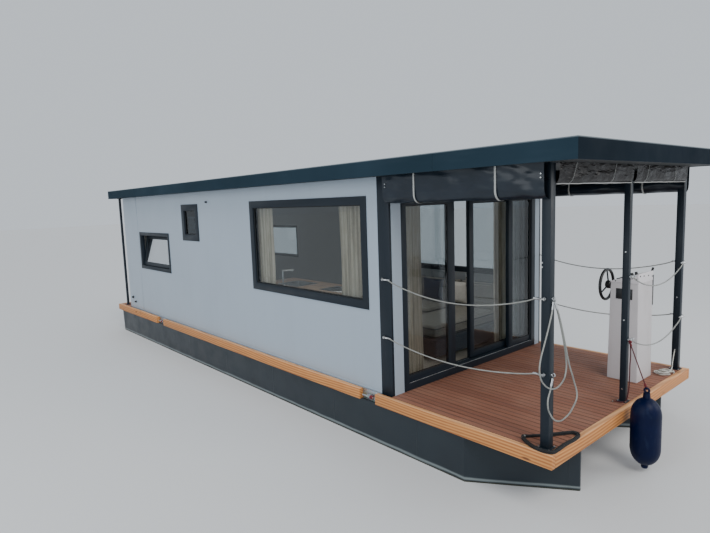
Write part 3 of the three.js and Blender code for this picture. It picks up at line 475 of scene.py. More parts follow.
def wound(points, radius, layers):
    """The line of a rope wound round a loop in two columns of turns, one layer on another."""
    lays = [(side * radius * 1.15, radius * (1.06 + 2.02 * layer))
            for layer in range(layers) for side in (1, -1)]
    route = []
    for i in range(len(lays) * COIL_STEPS + 1):
        share = i / COIL_STEPS
        turn = min(int(share), len(lays) - 1)
        (out, height), (next_out, next_height) = lays[turn], lays[min(turn + 1, len(lays) - 1)]
        over = min(max((share - turn - 0.78) / 0.22, 0), 1)
        over = over * over * (3 - 2 * over)
        spot, ahead_spot = on_loop(points, share), on_loop(points, share + 0.004)
        way = (ahead_spot - spot).normalized()
        stray = noise.noise(Vector((share * 7, turn * 3.1, radius * 900))) * radius * 0.22
        reach = out + (next_out - out) * over + stray
        route.append(Vector((BOW + spot.x + way.y * reach, spot.y - way.x * reach,
                             DECK + height + (next_height - height) * over)))
    return route


def heaped(middle, drift, loop, turns, radius, tail):
    """The line of a rope dropped in loose loops that wander over the deck, and its rising tail."""
    route = []
    for i in range(turns * COIL_STEPS + 1):
        angle = math.tau * i / COIL_STEPS
        size = loop * (1 + 0.24 * math.sin(angle * 0.43 + 1.0))
        x = middle[0] + drift[0] * math.sin(angle * 0.27 + 0.6) + size * 0.8 * math.cos(angle)
        y = middle[1] + drift[1] * math.sin(angle * 0.19 + 2.4) + size * math.sin(angle)
        rise = radius * (1.06 + 0.62 * (angle / math.tau) * (1 + 0.5 * math.sin(angle * 0.9)))
        route.append(Vector((BOW + x, y, DECK + rise)))
    return route + [Vector((BOW + x, y, DECK + z)) for x, y, z in tail]


def coiled(name, route, radius, finish):
    """A rope that lies along a route, with twine round its ends."""
    rope = line(name + "_cord", route, radius, finish, smooth=3)
    whipping = bmesh.new()
    for end, after in ((route[0], route[1]), (route[-1], route[-2])):
        way = (after - end).normalized()
        for i in range(5):
            ring(whipping, end + way * (0.003 + i * 0.0022), way, radius * 1.02, 0.0011, 6, 18)
    twine = piece(name + "_whipping", whipping, rope_sheath)
    for made in (rope, twine):
        stand_in(made, name, "black_rope" if "black" in name else "rope")


black_braid = laid_rope("black_braid", 190, 0x0C0D0F, 0x26282B, {"Roughness": 0.75})
white_braid = laid_rope("white_braid", 170, 0xA8A79F, 0xF0EFE8, {"Roughness": 0.8})
BLACK_ROPE, WHITE_ROPE = 0.0063, 0.0052
coiled("rope_coil_black", wound(BLACK_COIL, BLACK_ROPE, 2), BLACK_ROPE, black_braid)
white_heap = heaped((-0.128, 1.150), (0.022, 0.062), 0.062, 8, WHITE_ROPE, WHITE_TAIL)
coiled("rope_coil_white", white_heap, WHITE_ROPE, white_braid)

# A plain pale floor stands at the waterline, 330 mm above the pontoon bottoms, because a boat
# afloat shows only what lies above it. The light is an even sky with one broad, soft sun and
# two large panels off the bow.
WATERLINE = 0.330
floor_shape = bmesh.new()
bmesh.ops.create_grid(floor_shape, x_segments=1, y_segments=1, size=90,
                      matrix=Matrix.Translation((0, 0, WATERLINE)))
floor_mesh = bpy.data.meshes.new("stage_floor")
floor_shape.to_mesh(floor_mesh)
floor_shape.free()
stage_paint = Finish("stage_paint", {"Base Color": (0.62, 0.63, 0.64, 1), "Roughness": 0.75})
floor_mesh.materials.append(stage_paint.material)
placed("stage_floor", floor_mesh)

world = bpy.data.worlds.new("studio")
world.use_nodes = True
sky = world.node_tree.nodes["Background"].inputs
sky["Color"].default_value = (0.80, 0.86, 0.93, 1)
sky["Strength"].default_value = 0.85
bpy.context.scene.world = world


def lamp(name, kind, place, target, energy, size, colour):
    """A lamp that looks from its place at a target; its size is an angle for the sun, or else a width."""
    data = bpy.data.lights.new(name, kind)
    data.energy = energy
    data.color = colour
    if kind == "SUN":
        data.angle = math.radians(size)
    else:
        data.size = size
    toward = (Vector(target) - Vector(place)).to_track_quat("-Z", "Y")
    placed(name, data).matrix_world = Matrix.Translation(place) @ toward.to_matrix().to_4x4()


lamp("soft_sun", "SUN", (9, -4, 12), (0, 0, 1), 1.6, 28, (1.0, 0.97, 0.92))
lamp("bow_panel", "AREA", (11, 5, 5), (4, 0, 1.6), 260, 4.5, (1.0, 0.98, 0.95))
lamp("quay_panel", "AREA", (3, -11, 5), (1, -1, 1.6), 380, 7, (0.93, 0.97, 1.0))
for x in (-2.4, 0.2, 2.2):
    lamp("cabin_light", "AREA", (x, 0, 3.05), (x, 0, 0), 7, 1.1, (1.0, 0.95, 0.88))

# Two steel pontoons carry the boat. They are welded from plate, with wedge-shaped noses, and
# painted dark slate, with a pale line of dried water just above where they float.
hull_paint = Finish("hull_paint", {"Coat Weight": 0.1, "Coat Roughness": 0.3, "Specular IOR Level": 0.3})
hull_height = hull_paint.axis("Z")
scum = hull_paint.noise(0.12, (3, 3, 0.5))
scum_height = hull_height + scum * 0.03
line_low = hull_paint.between(scum_height, WATERLINE + 0.030, WATERLINE + 0.044)
line_high = hull_paint.between(scum_height, WATERLINE + 0.050, WATERLINE + 0.064)
slate = hull_paint.mix(hull_paint.noise(0.5), shade(0x1A2228), shade(0x262F36))
weed = hull_paint.mix(hull_paint.noise(0.09), shade(0x23261F), shade(0x383A2E))
slate = hull_paint.mix(hull_height < WATERLINE + 0.012, slate, weed)
hull_paint.set("Base Color", hull_paint.mix((line_low - line_high) * 0.6, slate, shade(0x8D9798)))
hull_paint.roughen(hull_paint.noise(0.2), 0.30, 0.48)
PLATE_LONG = 1.25
seam = (hull_paint.axis("X") * (1 / PLATE_LONG)).off_middle()
hull_paint.bump(hull_paint.between(seam, 0.494, 0.5), 0.003)
hull_paint.bump(hull_paint.noise(0.35), 0.004)


def dress(node, finish):
    """Gives a carried-over solid its finish."""
    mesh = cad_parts[node].data
    mesh.materials.clear()
    mesh.materials.append(finish.material)


for node in ("pontoon_starboard", "pontoon_port"):
    dress(node, hull_paint)

# The deck frame is a flat raft of steel joists on the pontoons, in the same dark paint but duller.
frame_paint = cloudy("frame_paint", {"Roughness": 0.6}, (0.2, 0x1D2328, 0x2A3138), grain=(0.01, 0.0004))
dress("deck_frame", frame_paint)

# The decks are grooved boards of reddish wood and plastic, laid along the boat with open seams.
# Each board is a little lighter or darker than its neighbour and has fine ribs along it, whose hollows are
# painted darker as painted shade.
BOARD_PITCH, RIB_PITCH = 0.1445, 0.0085
FIRST_SEAM = -1.4447


def deck_finish():
    """Grooved boards, each of its own tone, worn pale in patches."""
    boards = Finish("deck_boards", {})
    across = (boards.axis("Y") - FIRST_SEAM) * (1 / BOARD_PITCH)
    streak = boards.noise(0.03, (14, 1, 1))
    tone = boards.between(across.whole().chance() * 0.25 + streak * 0.9, 0.2, 1.0)
    colour = boards.mix(tone, shade(0x7A4A38), shade(0xA06C54))
    worn = boards.between(boards.noise(0.45), 0.45, 0.75)
    colour = boards.mix(worn * 0.3, colour, shade(0xA88470))
    rib = (boards.axis("Y") * (1 / RIB_PITCH)).wave()
    # The hollows between the ribs are painted darker, as painted shade.
    colour = boards.mix(boards.between(rib, -1.0, -0.2, 0.4, 0.0), colour, shade(0x3C2418))
    groove = boards.between((across * 2).off_middle(), 0.41, 0.45)
    boards.set("Base Color", boards.mix(groove * 0.75, colour, shade(0x2A1A14)))
    boards.roughen(streak, 0.55, 0.8)
    boards.bump(rib, 0.0009)
    boards.bump(1 - groove, 0.003)
    boards.bump(boards.noise(0.004, (6, 1, 1)), 0.0003)
    return boards


deck_boards = deck_finish()
for node in ("terrace_deck", "aft_deck"):
    dress(node, deck_boards)

# Rub rails of oiled larch run round the deck edge, bolted to the frame, with rounded arrises.
# They are orange on their outer faces and painted paler on top, as painted light from the sky. In each gap of
# the side rails sits a galvanised cleat, with a few turns of dark red cord on it.
RAIL_TALL, RAIL_THICK = 0.113, 0.055
SIDE = 1.500
RAIL_GAPS = ((-2.165, -1.930), (-7.682, -7.394))
rail_low = DECK - RAIL_TALL


def block(shape, low, high, soft=0.0, segments=2):
    """A block between two corners, with its edges eased by soft."""
    low, high = Vector(low), Vector(high)
    place = Matrix.Translation((low + high) / 2) @ Matrix.Diagonal((*(high - low), 1))
    made = bmesh.ops.create_cube(shape, size=1, matrix=place)["verts"]
    if soft:
        ease(shape, list({edge for vert in made for edge in vert.link_edges}), soft, segments)


def larch_finish(name, along):
    """Larch whose grain runs along x or y, with its top faces painted paler as painted light."""
    wood = Finish(name, {})
    across = "Y" if along == "X" else "X"

    def drawn_out(long, wide=1):
        return (long, wide, wide) if along == "X" else (wide, long, wide)

    ripple = wood.noise(0.9, drawn_out(3.2), detail=1.0, seed=3)
    rings = wood.axis("Z") * 34 + wood.axis(across) * 20 + ripple * 9
    figure = wood.between(rings.wave(), -1, 1)
    fibre = wood.noise(0.008, drawn_out(22), detail=5.0)
    tone = wood.between(figure * 0.55 + fibre * 0.6, 0.25, 0.95)
    colour = wood.mix(tone, shade(0xA05F2C), shade(0xD29457))
    spots = {"Vector": wood.node("TexCoord", output="Object"), "Location": (0.3, 0.3, 0.2),
             "Scale": drawn_out(2.4, 9.0)}
    spread = {"Vector": wood.node("Mapping", None, spots), "Scale": 1.0, "Randomness": 1.0}
    knot = wood.between(wood.node("TexVoronoi", {"feature": "F1"}, spread), 0.07, 0.13, 1.0, 0.0)
    colour = wood.mix(knot * 0.85, colour, shade(0x5A3018))
    # Top faces are painted paler, as painted light from the sky.
    top = wood.between(wood.axis("Z", "Normal"), 0.75, 0.95)
    sky_lit_top = wood.mix(tone, shade(0xC08A5C), shade(0xE6B586))
    colour = wood.mix(top * 0.8, colour, wood.mix(knot * 0.6, sky_lit_top, shade(0x7A4E2E)))
    wood.set("Base Color", colour)
    wood.roughen(fibre, 0.5, 0.72)
    wood.bump(fibre, 0.0006)
    return wood


larch_long = larch_finish("larch_long", "X")
larch_across = larch_finish("larch_across", "Y")
galvanised = Finish("galvanised", {"Metallic": 0.9})
galvanised.set("Base Color", galvanised.mix(0.25, shade(0x9EA3A6), galvanised.cells(160.0, "Color")))
galvanised.roughen(galvanised.noise(0.02), 0.35, 0.55)
red_cord = Finish("red_cord", {"Roughness": 0.85})
red_twist = (red_cord.axis("X") * 120 + red_cord.axis("Z") * 160).wave()
# The grooves of the twist are painted darker, as painted shade.
red_cord.tint(red_cord.between(red_twist + red_cord.noise(0.01), -0.6, 1.4), 0x3C1016, 0x8A2A33)
red_cord.bump(red_twist, 0.0008)

# Where each side rail's lengths start and end, from the bow aft, and where its bolts are, from the stern
RAIL_STOPS = (0.0, RAIL_GAPS[0][1], RAIL_GAPS[0][0], RAIL_GAPS[1][1], RAIL_GAPS[1][0], STERN - BOW)
BOLT_FIRST, BOLT_PITCH = 0.28, 0.62
ARRIS = 0.004
for side, word in SIDES:
    timbers, metal, cord = blanks(3)
    outer, inner = side * SIDE, side * (SIDE - RAIL_THICK)
    for fore, aft in zip(RAIL_STOPS[::2], RAIL_STOPS[1::2]):
        block(timbers, (BOW + aft, min(outer, inner), rail_low), (BOW + fore, max(outer, inner), DECK), ARRIS)
    for aft, fore in RAIL_GAPS:
        x, z = BOW + (aft + fore) / 2, DECK - RAIL_TALL / 2
        strip = sorted((inner - side * 0.005, inner + side * 0.001))
        block(metal, (BOW + aft - 0.01, strip[0], rail_low), (BOW + fore + 0.01, strip[1], DECK), 0.001)
        foot = sorted((inner, outer - side * 0.020))
        block(metal, (x - 0.030, foot[0], z - 0.018), (x + 0.030, foot[1], z + 0.018), 0.004)
        horn_y = outer - side * 0.017
        rod(metal, (x - 0.080, horn_y, z), (x + 0.080, horn_y, z), 0.010)
        for way in (-1, 1):
            ring(metal, (x + way * 0.078, horn_y, z), (1, 0, 0), 0.006, 0.005, 8, 16)
        for turn in range(5):
            ring(cord, (x + 0.036 + turn * 0.009, horn_y, z), (1, 0, 0.12), 0.0135, 0.0048, 8, 20)
    for index in range(16):
        bolt = Vector((STERN + BOLT_FIRST + index * BOLT_PITCH, outer - side * 0.0035, DECK - 0.056))
        if all(not BOW + aft - 0.03 < bolt.x < BOW + fore + 0.03 for aft, fore in RAIL_GAPS):
            rod(metal, bolt, bolt + Vector((0, side * 0.003, 0)), 0.0095, 0.008)
    assembled(f"rail_{word}", "timber", (
        ("timbers", timbers, larch_long), ("cleats", metal, galvanised), ("cord_turns", cord, red_cord)))

for node in ("rail_bow", "rail_stern"):
    timber = bmesh.new()
    block(timber, *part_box(node), ARRIS)
    assembled(node, "timber", (("timber", timber, larch_across),))

# The cabin walls are 60 mm sandwich panels with a smooth, satin, pale blue-grey skin outside and
# boards inside that are painted mid grey as shade, which darkens the cabin. A cover strip hides the joint
# near the stern.
WALL_IN = 1.355
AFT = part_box("wall_aft")[0].x
ROOF_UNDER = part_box("wall_starboard")[1].z
wall_panel = Finish("wall_panel", {"Coat Weight": 0.15, "Coat Roughness": 0.3})
outside = wall_panel.axis("Y").size() > WALL_IN + 0.002
ends = (wall_panel.axis("X") > FRONT - 0.010) + (wall_panel.axis("X") < AFT + 0.004)
skin = wall_panel.mix(wall_panel.noise(1.4), shade(0x95A2AF), shade(0xA1AEBA))
streaks = wall_panel.between(wall_panel.noise(0.09, (1, 1, 16)), 0.5, 0.85)
skin = wall_panel.mix(streaks * 0.12, skin, shade(0x8B939A))
# Inside, the walls are painted mid grey as shade.
wall_panel.set("Base Color", wall_panel.mix(outside + ends > 0.5, shade(0x83888C), skin))
wall_panel.roughen(wall_panel.noise(0.5), 0.30, 0.42)
wall_panel.bump(wall_panel.noise(0.6), 0.003)
wall_panel.bump(wall_panel.noise(0.02), 0.0002)
for node in ("wall_starboard", "wall_port", "wall_fore", "wall_aft"):
    dress(node, wall_panel)

powder_coat = cloudy("powder_coat", {"Specular IOR Level": 0.25}, (0.7, 0x121A22, 0x1B2630),
                     (0.3, 0.36, 0.5), (0.0018, 0.00012))
black_rubber = cloudy("black_rubber", {"Roughness": 0.7}, (0.02, 0x0E0F11, 0x1B1D20), grain=(0.002, 0.0002))

SEAM_X = BOW - 8.53
COVER_HALF = 0.020
cover_top = ROOF_UNDER - 0.006
trim, fittings = blanks(2)
for side, _ in SIDES:
    face = side * WALL_OUT
    near, far = sorted((face, face + side * 0.0025))
    block(trim, (SEAM_X - COVER_HALF, near, DECK - 0.020), (SEAM_X + COVER_HALF, far, cover_top), 0.001)
    near, far = sorted((face, face + side * 0.004))
    block(trim, (AFT + 0.002, near, DECK - 0.022), (FRONT - 0.165, far, DECK + 0.012), 0.001)
piece("wall_joint_strips", trim, wall_panel)
# Vents and skin fittings low on the starboard wall near the stern, and a lamp bracket under the eaves
for x, z, radius in ((BOW - 9.05, DECK + 0.215, 0.028), (BOW - 8.92, DECK + 0.135, 0.022)):
    rod(fittings, (x, -WALL_OUT - 0.022, z), (x, -WALL_OUT, z), radius * 0.7, radius)
    rod(fittings, (x, -WALL_OUT - 0.034, z), (x, -WALL_OUT - 0.020, z), radius * 0.6, radius * 0.55)
lamp_foot = Vector((BOW - 5.567, -WALL_OUT, 2.930))
rod(fittings, lamp_foot - Vector((0, 0.030, 0)), lamp_foot, 0.011, 0.016)
piece("wall_fittings", fittings, black_rubber)

# Corner posts of folded, powder-coated sheet close the wall edges at the front and carry the
# rope eyes of the side guard ropes.
POST_LONG, POST_FACE, POST_BACK = 0.161, 1.418, 1.390


def rope_eye(shape, face, way):
    """A welded rope eye: an upright ring of round steel on a short stem."""
    face, way = Vector(face), Vector(way)
    hole = (1, 0, 0) if abs(way.y) > 0.5 else (0, 1, 0)
    ring(shape, face + way * EYE_OUT, hole, EYE_RING, EYE_WIRE, 10, 24)
    rod(shape, face - way * 0.002, face + way * 0.005, 0.008, 0.006, 12)


for side, word in SIDES:
    sheet, eyes = blanks(2)
    near, far = sorted((side * POST_FACE, side * POST_BACK))
    block(sheet, (FRONT - POST_LONG, near, DECK - 0.025), (FRONT, far, ROOF_UNDER), 0.0025)
    for height in EYE_HEIGHTS:
        rope_eye(eyes, (CORNER_EYE_X, side * POST_FACE, height), (0, side, 0))
    assembled(f"corner_post_{word}", "anthracite", (
        ("sheet", sheet, powder_coat), ("eyes", eyes, bright_steel)))

# The cabin floor is light grey-beige laminate in long planks.
laminate = Finish("laminate", {})
PLANK_WIDE, PLANK_LONG = 0.19, 1.2
plank_across = laminate.axis("Y") * (1 / PLANK_WIDE)
plank_along = laminate.axis("X") * (1 / PLANK_LONG) + plank_across.whole().chance()
plank = (plank_across.whole() * 7.3 + plank_along.whole()).chance()
floor_grain = laminate.noise(0.012, (18, 1, 1), detail=5.0)
tone = laminate.between(plank * 0.45 + floor_grain * 0.75, 0.2, 1.0)
colour = laminate.mix(tone, shade(0x8E877C), shade(0xC4BDB0))
gap = laminate.between(plank_across.off_middle(), 0.488, 0.496)
end_gap = laminate.between(plank_along.off_middle(), 0.498, 0.4995)
laminate.set("Base Color", laminate.mix(gap * 0.7 + end_gap * 0.7, colour, shade(0x4A453E)))
laminate.roughen(floor_grain, 0.38, 0.55)
dress("cabin_floor", laminate)

# The roof is a flat insulated panel under a dark membrane, white below in the cabin and painted dark below
# outside it, as painted shade. Its fascia is a tall dark sheet whose bow face is painted darker, as painted
# shade, and whose top edge is painted pale, partly as its bare metal and partly as a painted highlight.
LAP_PITCH, CEILING_PITCH, FASCIA_LONG = 1.05, 0.40, 2.05
membrane = Finish("membrane", {})
roof_dust = membrane.noise(0.8, detail=5.0)
top_colour = membrane.mix(membrane.between(roof_dust, 0.4, 0.75), shade(0x33393E), shade(0x474C50))
lap = membrane.between((membrane.axis("X") * (1 / LAP_PITCH)).off_middle(), 0.488, 0.5)
top_colour = membrane.mix(lap * 0.5, top_colour, shade(0x24282C))
under_inside = (membrane.axis("X") < FRONT) * (membrane.axis("X") > AFT)
under_inside = under_inside * (membrane.axis("Y").size() < WALL_OUT)
# Outside the cabin the underside is painted dark, as painted shade; inside the cabin it is white.
under = membrane.mix(under_inside, shade(0x23282B), shade(0xDDDCD7))
board_joint = membrane.between((membrane.axis("Y") * (1 / CEILING_PITCH)).off_middle(), 0.485, 0.5)
under = membrane.mix(board_joint * 0.35, under, shade(0x55585A))
membrane.set("Base Color", membrane.mix(membrane.axis("Z") > ROOF_UNDER + 0.05, under, top_colour))
membrane.roughen(roof_dust, 0.55, 0.8)
membrane.bump(lap, 0.004)
membrane.bump(membrane.noise(0.01), 0.0005)
dress("roof_panel", membrane)

fascia_sheet = Finish("fascia_sheet", {"Specular IOR Level": 0.02})
fascia_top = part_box("roof_fascia")[1].z
# The top edge is painted pale, partly as the bare metal's own colour and partly as a painted highlight.
pale_edge_and_highlight = fascia_sheet.between(fascia_sheet.axis("Z"), fascia_top - 0.010, fascia_top - 0.006)
dark = fascia_sheet.mix(fascia_sheet.noise(0.9), shade(0x1B2931), shade(0x2C3D49))
chalk = fascia_sheet.between(fascia_sheet.noise(0.05, (9, 9, 1), detail=5.0), 0.55, 0.85)
dark = fascia_sheet.mix(chalk * 0.12, dark, shade(0x46545E))
# The bow face is painted darker than the sides, as painted shade.
bow_face_painted_shade = fascia_sheet.axis("X", "Normal") > 0.9
dark = fascia_sheet.mix(bow_face_painted_shade * 0.75, dark, shade(0x010A16))
fascia_sheet.set("Base Color", fascia_sheet.mix(pale_edge_and_highlight * 0.6, dark, shade(0x7E878C)))
fascia_sheet.roughen(fascia_sheet.noise(0.25), 0.48, 0.62)
fascia_joint = (fascia_sheet.axis("X") * (1 / FASCIA_LONG)).off_middle()
fascia_sheet.bump(1 - fascia_sheet.between(fascia_joint, 0.4975, 0.4995), 0.003)
fascia_sheet.bump(fascia_sheet.noise(0.5), 0.005)
dress("roof_fascia", fascia_sheet)

# The windows are double glazed in flat, powder-coated frames that lap over the wall, and black beads
# hold their glass. The starboard one near the stern stands open, its sash tilted in at the top.
# Each window: its span from the bow rail, its span above the deck, and its rim
LARGE = ((-4.338, -2.060), (0.858, 2.039), 0.090)
SMALL = ((-6.483, -5.887), (1.451, 2.037), 0.100)
TILT = ((-8.439, -7.060), (0.854, 1.553), 0.062)
FLANGE_LAP, FLANGE_THICK = 0.022, 0.009
PANE_THICK = 0.024
# What across the frame, along it and up become x, y and z
STANDING = {
    "z": Matrix.Identity(4),
    "y": Matrix(((1, 0, 0, 0), (0, 0, 1, 0), (0, 1, 0, 0), (0, 0, 0, 1))),
    "x": Matrix(((0, 0, 1, 0), (1, 0, 0, 0), (0, 1, 0, 0), (0, 0, 0, 1))),
}


def surround(shape, wide, tall, rims, depth, normal, soft=0.002):
    """A mitred frame: its width and height spans, its rims first, last, below and above, and its depth."""
    first, last, below, above = rims if isinstance(rims, tuple) else (rims,) * 4
    part = bmesh.new()
    loops = []
    inner = ((wide[0] + first, wide[1] - last), (tall[0] + below, tall[1] - above))
    for (u0, u1), (v0, v1) in ((wide, tall), inner):
        corners = [part.verts.new((u, v, depth[0])) for u, v in ((u0, v0), (u1, v0), (u1, v1), (u0, v1))]
        loops += [part.edges.new((corners[i - 1], corners[i])) for i in range(4)]
    bmesh.ops.bridge_loops(part, edges=loops)
    thicken(part, part.faces[:], (0, 0, depth[1] - depth[0]))
    ease(part, [edge for edge in part.edges if edge.calc_face_angle(0) > 0.5], soft)
    add(shape, part, STANDING[normal])


def glass_finish(name, tint, least=0.05):
    """Clear glass: see-through, with a mirror whose strength rises from least with the angle of sight."""
    look = {"Base Color": (0.9, 0.93, 0.95, 1), "Metallic": 1.0, "Roughness": 0.015, "IOR": 1.5}
    pane = Finish(name, look)
    clear = pane.node("BsdfTransparent", None, {"Color": tint})
    grazing = pane.node("LayerWeight", None, {"Blend": 0.5}, "Facing")
    share = grazing ** 5 * (1 - least) + least
    mixed = pane.tree.nodes.new("ShaderNodeMixShader")
    pane.join(mixed.inputs[0], share)
    pane.join(mixed.inputs[1], clear)
    pane.tree.links.new(pane.shader.outputs[0], mixed.inputs[2])
    pane.tree.links.new(mixed.outputs[0], pane.tree.nodes["Material Output"].inputs["Surface"])
    return pane


def inset(span, margin):
    """A span that is shorter by a margin at both ends."""
    return span[0] + margin, span[1] - margin


CLEAR_TINT = (0.76, 0.79, 0.80, 1)
window_glass = glass_finish("window_glass", CLEAR_TINT)
tinted_glass = glass_finish("tinted_glass", (0.16, 0.20, 0.23, 1), 0.03)
sky_glass = glass_finish("sky_glass", CLEAR_TINT, 0.62)


def window_frame(shape, size, side):
    """The frame of a window in a side wall, and the spans of the opening that it leaves."""
    across, up_span, rim = size
    wide, tall = [BOW + x for x in across], [DECK + z for z in up_span]
    face = side * WALL_OUT
    surround(shape, wide, tall, rim, (face + side * 0.0005, face + side * FLANGE_THICK), "y")
    surround(shape, inset(wide, FLANGE_LAP), inset(tall, FLANGE_LAP), rim - FLANGE_LAP,
             (face, side * (WALL_IN - 0.004)), "y")
    return inset(wide, rim), inset(tall, rim)


def window(node, size, side, glass=window_glass):
    """A fixed window in a side wall."""
    coat, bead, pane = blanks(3)
    wide, tall = window_frame(coat, size, side)
    middle = side * (WALL_OUT + WALL_IN) / 2
    for way in (-1, 1):
        at = sorted((middle + way * PANE_THICK / 2, middle + way * (PANE_THICK / 2 + 0.007)))
        surround(bead, wide, tall, 0.009, at, "y", 0.001)
    block(pane, (wide[0], middle - PANE_THICK / 2, tall[0]), (wide[1], middle + PANE_THICK / 2, tall[1]))
    assembled(node, "window_frame", (
        ("profile", coat, powder_coat), ("bead", bead, black_rubber), ("pane", pane, glass, "clear_glass")))


window("window_large_starboard", LARGE, -1)
window("window_small_starboard", SMALL, -1, tinted_glass)
coat = bmesh.new()
sash_room, sash_height = window_frame(coat, TILT, -1)
stand_in(piece("window_tilt_starboard_profile", coat, powder_coat), "window_tilt_frame", "window_frame")
window("window_large_port", LARGE, 1)
window("window_aft_port", TILT, 1)

SASH_THICK, SASH_RIM, SASH_CLEAR = 0.040, 0.058, 0.006
SASH_LEAN = math.radians(9)
sash_wide = inset(sash_room, SASH_CLEAR)
sash_tall = sash_height[1] - sash_height[0] - SASH_CLEAR
sash_foot = Vector((0, -WALL_OUT + 0.022, sash_height[0] + SASH_THICK * math.sin(SASH_LEAN) + APART))
lean = Matrix.Translation(sash_foot) @ Matrix.Rotation(-SASH_LEAN, 4, "X")
profile, bead, glazing, handle = blanks(4)
surround(profile, sash_wide, (0, sash_tall), SASH_RIM, (0, SASH_THICK), "y")
inner_wide, inner_tall = inset(sash_wide, SASH_RIM), inset((0, sash_tall), SASH_RIM)
surround(bead, inner_wide, inner_tall, 0.008, (0.006, 0.010), "y", 0.001)
block(glazing, (inner_wide[0], 0.010, inner_tall[0]), (inner_wide[1], 0.030, inner_tall[1]))
handle_place = Matrix.Translation(((sash_wide[0] + sash_wide[1]) / 2, SASH_THICK, sash_tall))
block(handle, (-0.014, 0, -0.045), (0.014, 0.010, -0.012), 0.003)
block(handle, (-0.010, 0.008, -0.042), (0.100, 0.022, -0.022), 0.004)
bmesh.ops.transform(handle, matrix=handle_place, verts=handle.verts)
for shape in (profile, bead, glazing, handle):
    bmesh.ops.transform(shape, matrix=lean, verts=shape.verts)
assembled("window_tilt_sash", "window_frame", (
    ("profile", profile, powder_coat), ("bead", bead, black_rubber),
    ("pane", glazing, sky_glass, "clear_glass"), ("handle", handle, bright_steel)))

# The sliding door fills the front of the cabin: a deep aluminium frame with a fixed pane on each
# side, and behind them one leaf that runs on shoes along the sill. The leaf stands open to port.
SLIDE_DEEP, JAMB = 0.140, 0.080
SLIDE_SIDE = (-1.250, 1.290)
SLIDE_TOP = DECK + 2.075
SILL_TOP, HEAD_LOW = DECK + 0.075, SLIDE_TOP - 0.080
SASH_DEEP, SASH_RAIL = 0.045, 0.070
FIXED_X, LEAF_X = FRONT - 0.062, FRONT - 0.125
doorway = inset(SLIDE_SIDE, JAMB)
LEAF_CLEAR, LEAF_WIDE = 0.006, 1.217
coat, bead, glazing, metal = blanks(4)
wall_low = DECK - 0.025
surround(coat, SLIDE_SIDE, (wall_low, SLIDE_TOP), (JAMB, JAMB, SILL_TOP - wall_low, SLIDE_TOP - HEAD_LOW),
         (FRONT - SLIDE_DEEP, FRONT - APART), "x")


def sash(coat, bead, glazing, x, span, tall, stiles):
    """A glazed sash across the boat, with the widths of its starboard and port stiles."""
    surround(coat, span, tall, (*stiles, SASH_RAIL, SASH_RAIL), (x, x + SASH_DEEP), "x")
    light, light_tall = (span[0] + stiles[0], span[1] - stiles[1]), inset(tall, SASH_RAIL)
    for near, far in ((x + 0.035, x + 0.041), (x + 0.005, x + 0.011)):
        surround(bead, light, light_tall, 0.008, (near, far), "x", 0.001)
    block(glazing, (x + 0.011, light[0], light_tall[0]), (x + 0.035, light[1], light_tall[1]))


for span, stiles in (((doorway[0], -0.370), (0.012, 0.115)), ((0.705, doorway[1]), (0.085, 0.012))):
    sash(coat, bead, glazing, FIXED_X, span, (SILL_TOP, HEAD_LOW), stiles)
for y in doorway:
    rod(metal, (FRONT - 0.110, y - 0.001, SILL_TOP + 1.0), (FRONT - 0.110, y + 0.001, SILL_TOP + 1.0), 0.006)
block(metal, (LEAF_X + 0.019, doorway[0], SILL_TOP), (LEAF_X + 0.025, doorway[1], SILL_TOP + 0.00025))
drip = inset(doorway, 0.010)
block(metal, (FRONT - 0.012, drip[0], SILL_TOP), (FRONT - 0.004, drip[1], SILL_TOP + 0.004), 0.001)
assembled("slide_frame", "window_frame", (
    ("profile", coat, powder_coat), ("bead", bead, black_rubber),
    ("panes", glazing, window_glass, "clear_glass"), ("track", metal, bright_steel)))

coat, bead, glazing, metal = blanks(4)
leaf_span = (doorway[1] - LEAF_CLEAR - LEAF_WIDE, doorway[1] - LEAF_CLEAR)
leaf_tall = (SILL_TOP + LEAF_CLEAR, HEAD_LOW - LEAF_CLEAR)
sash(coat, bead, glazing, LEAF_X, leaf_span, leaf_tall, (0.080, 0.080))
for y in (leaf_span[0] + 0.060, leaf_span[1] - 0.140):
    block(coat, (LEAF_X + 0.012, y, SILL_TOP + APART),
          (LEAF_X + 0.032, y + 0.080, leaf_tall[0] + 0.001), 0.001)
grip = (leaf_span[0] + 0.031, leaf_span[0] + 0.049)
for z in (DECK + 0.900, DECK + 1.075):
    block(metal, (LEAF_X - 0.028, grip[0], z), (LEAF_X + 0.001, grip[1], z + 0.025), 0.003)
block(metal, (LEAF_X - 0.036, grip[0], DECK + 0.900), (LEAF_X - 0.020, grip[1], DECK + 1.100), 0.004)
assembled("slide_leaf", "window_frame", (
    ("profile", coat, powder_coat), ("bead", bead, black_rubber),
    ("pane", glazing, window_glass, "clear_glass"), ("handle", metal, bright_steel)), "door_leaf")

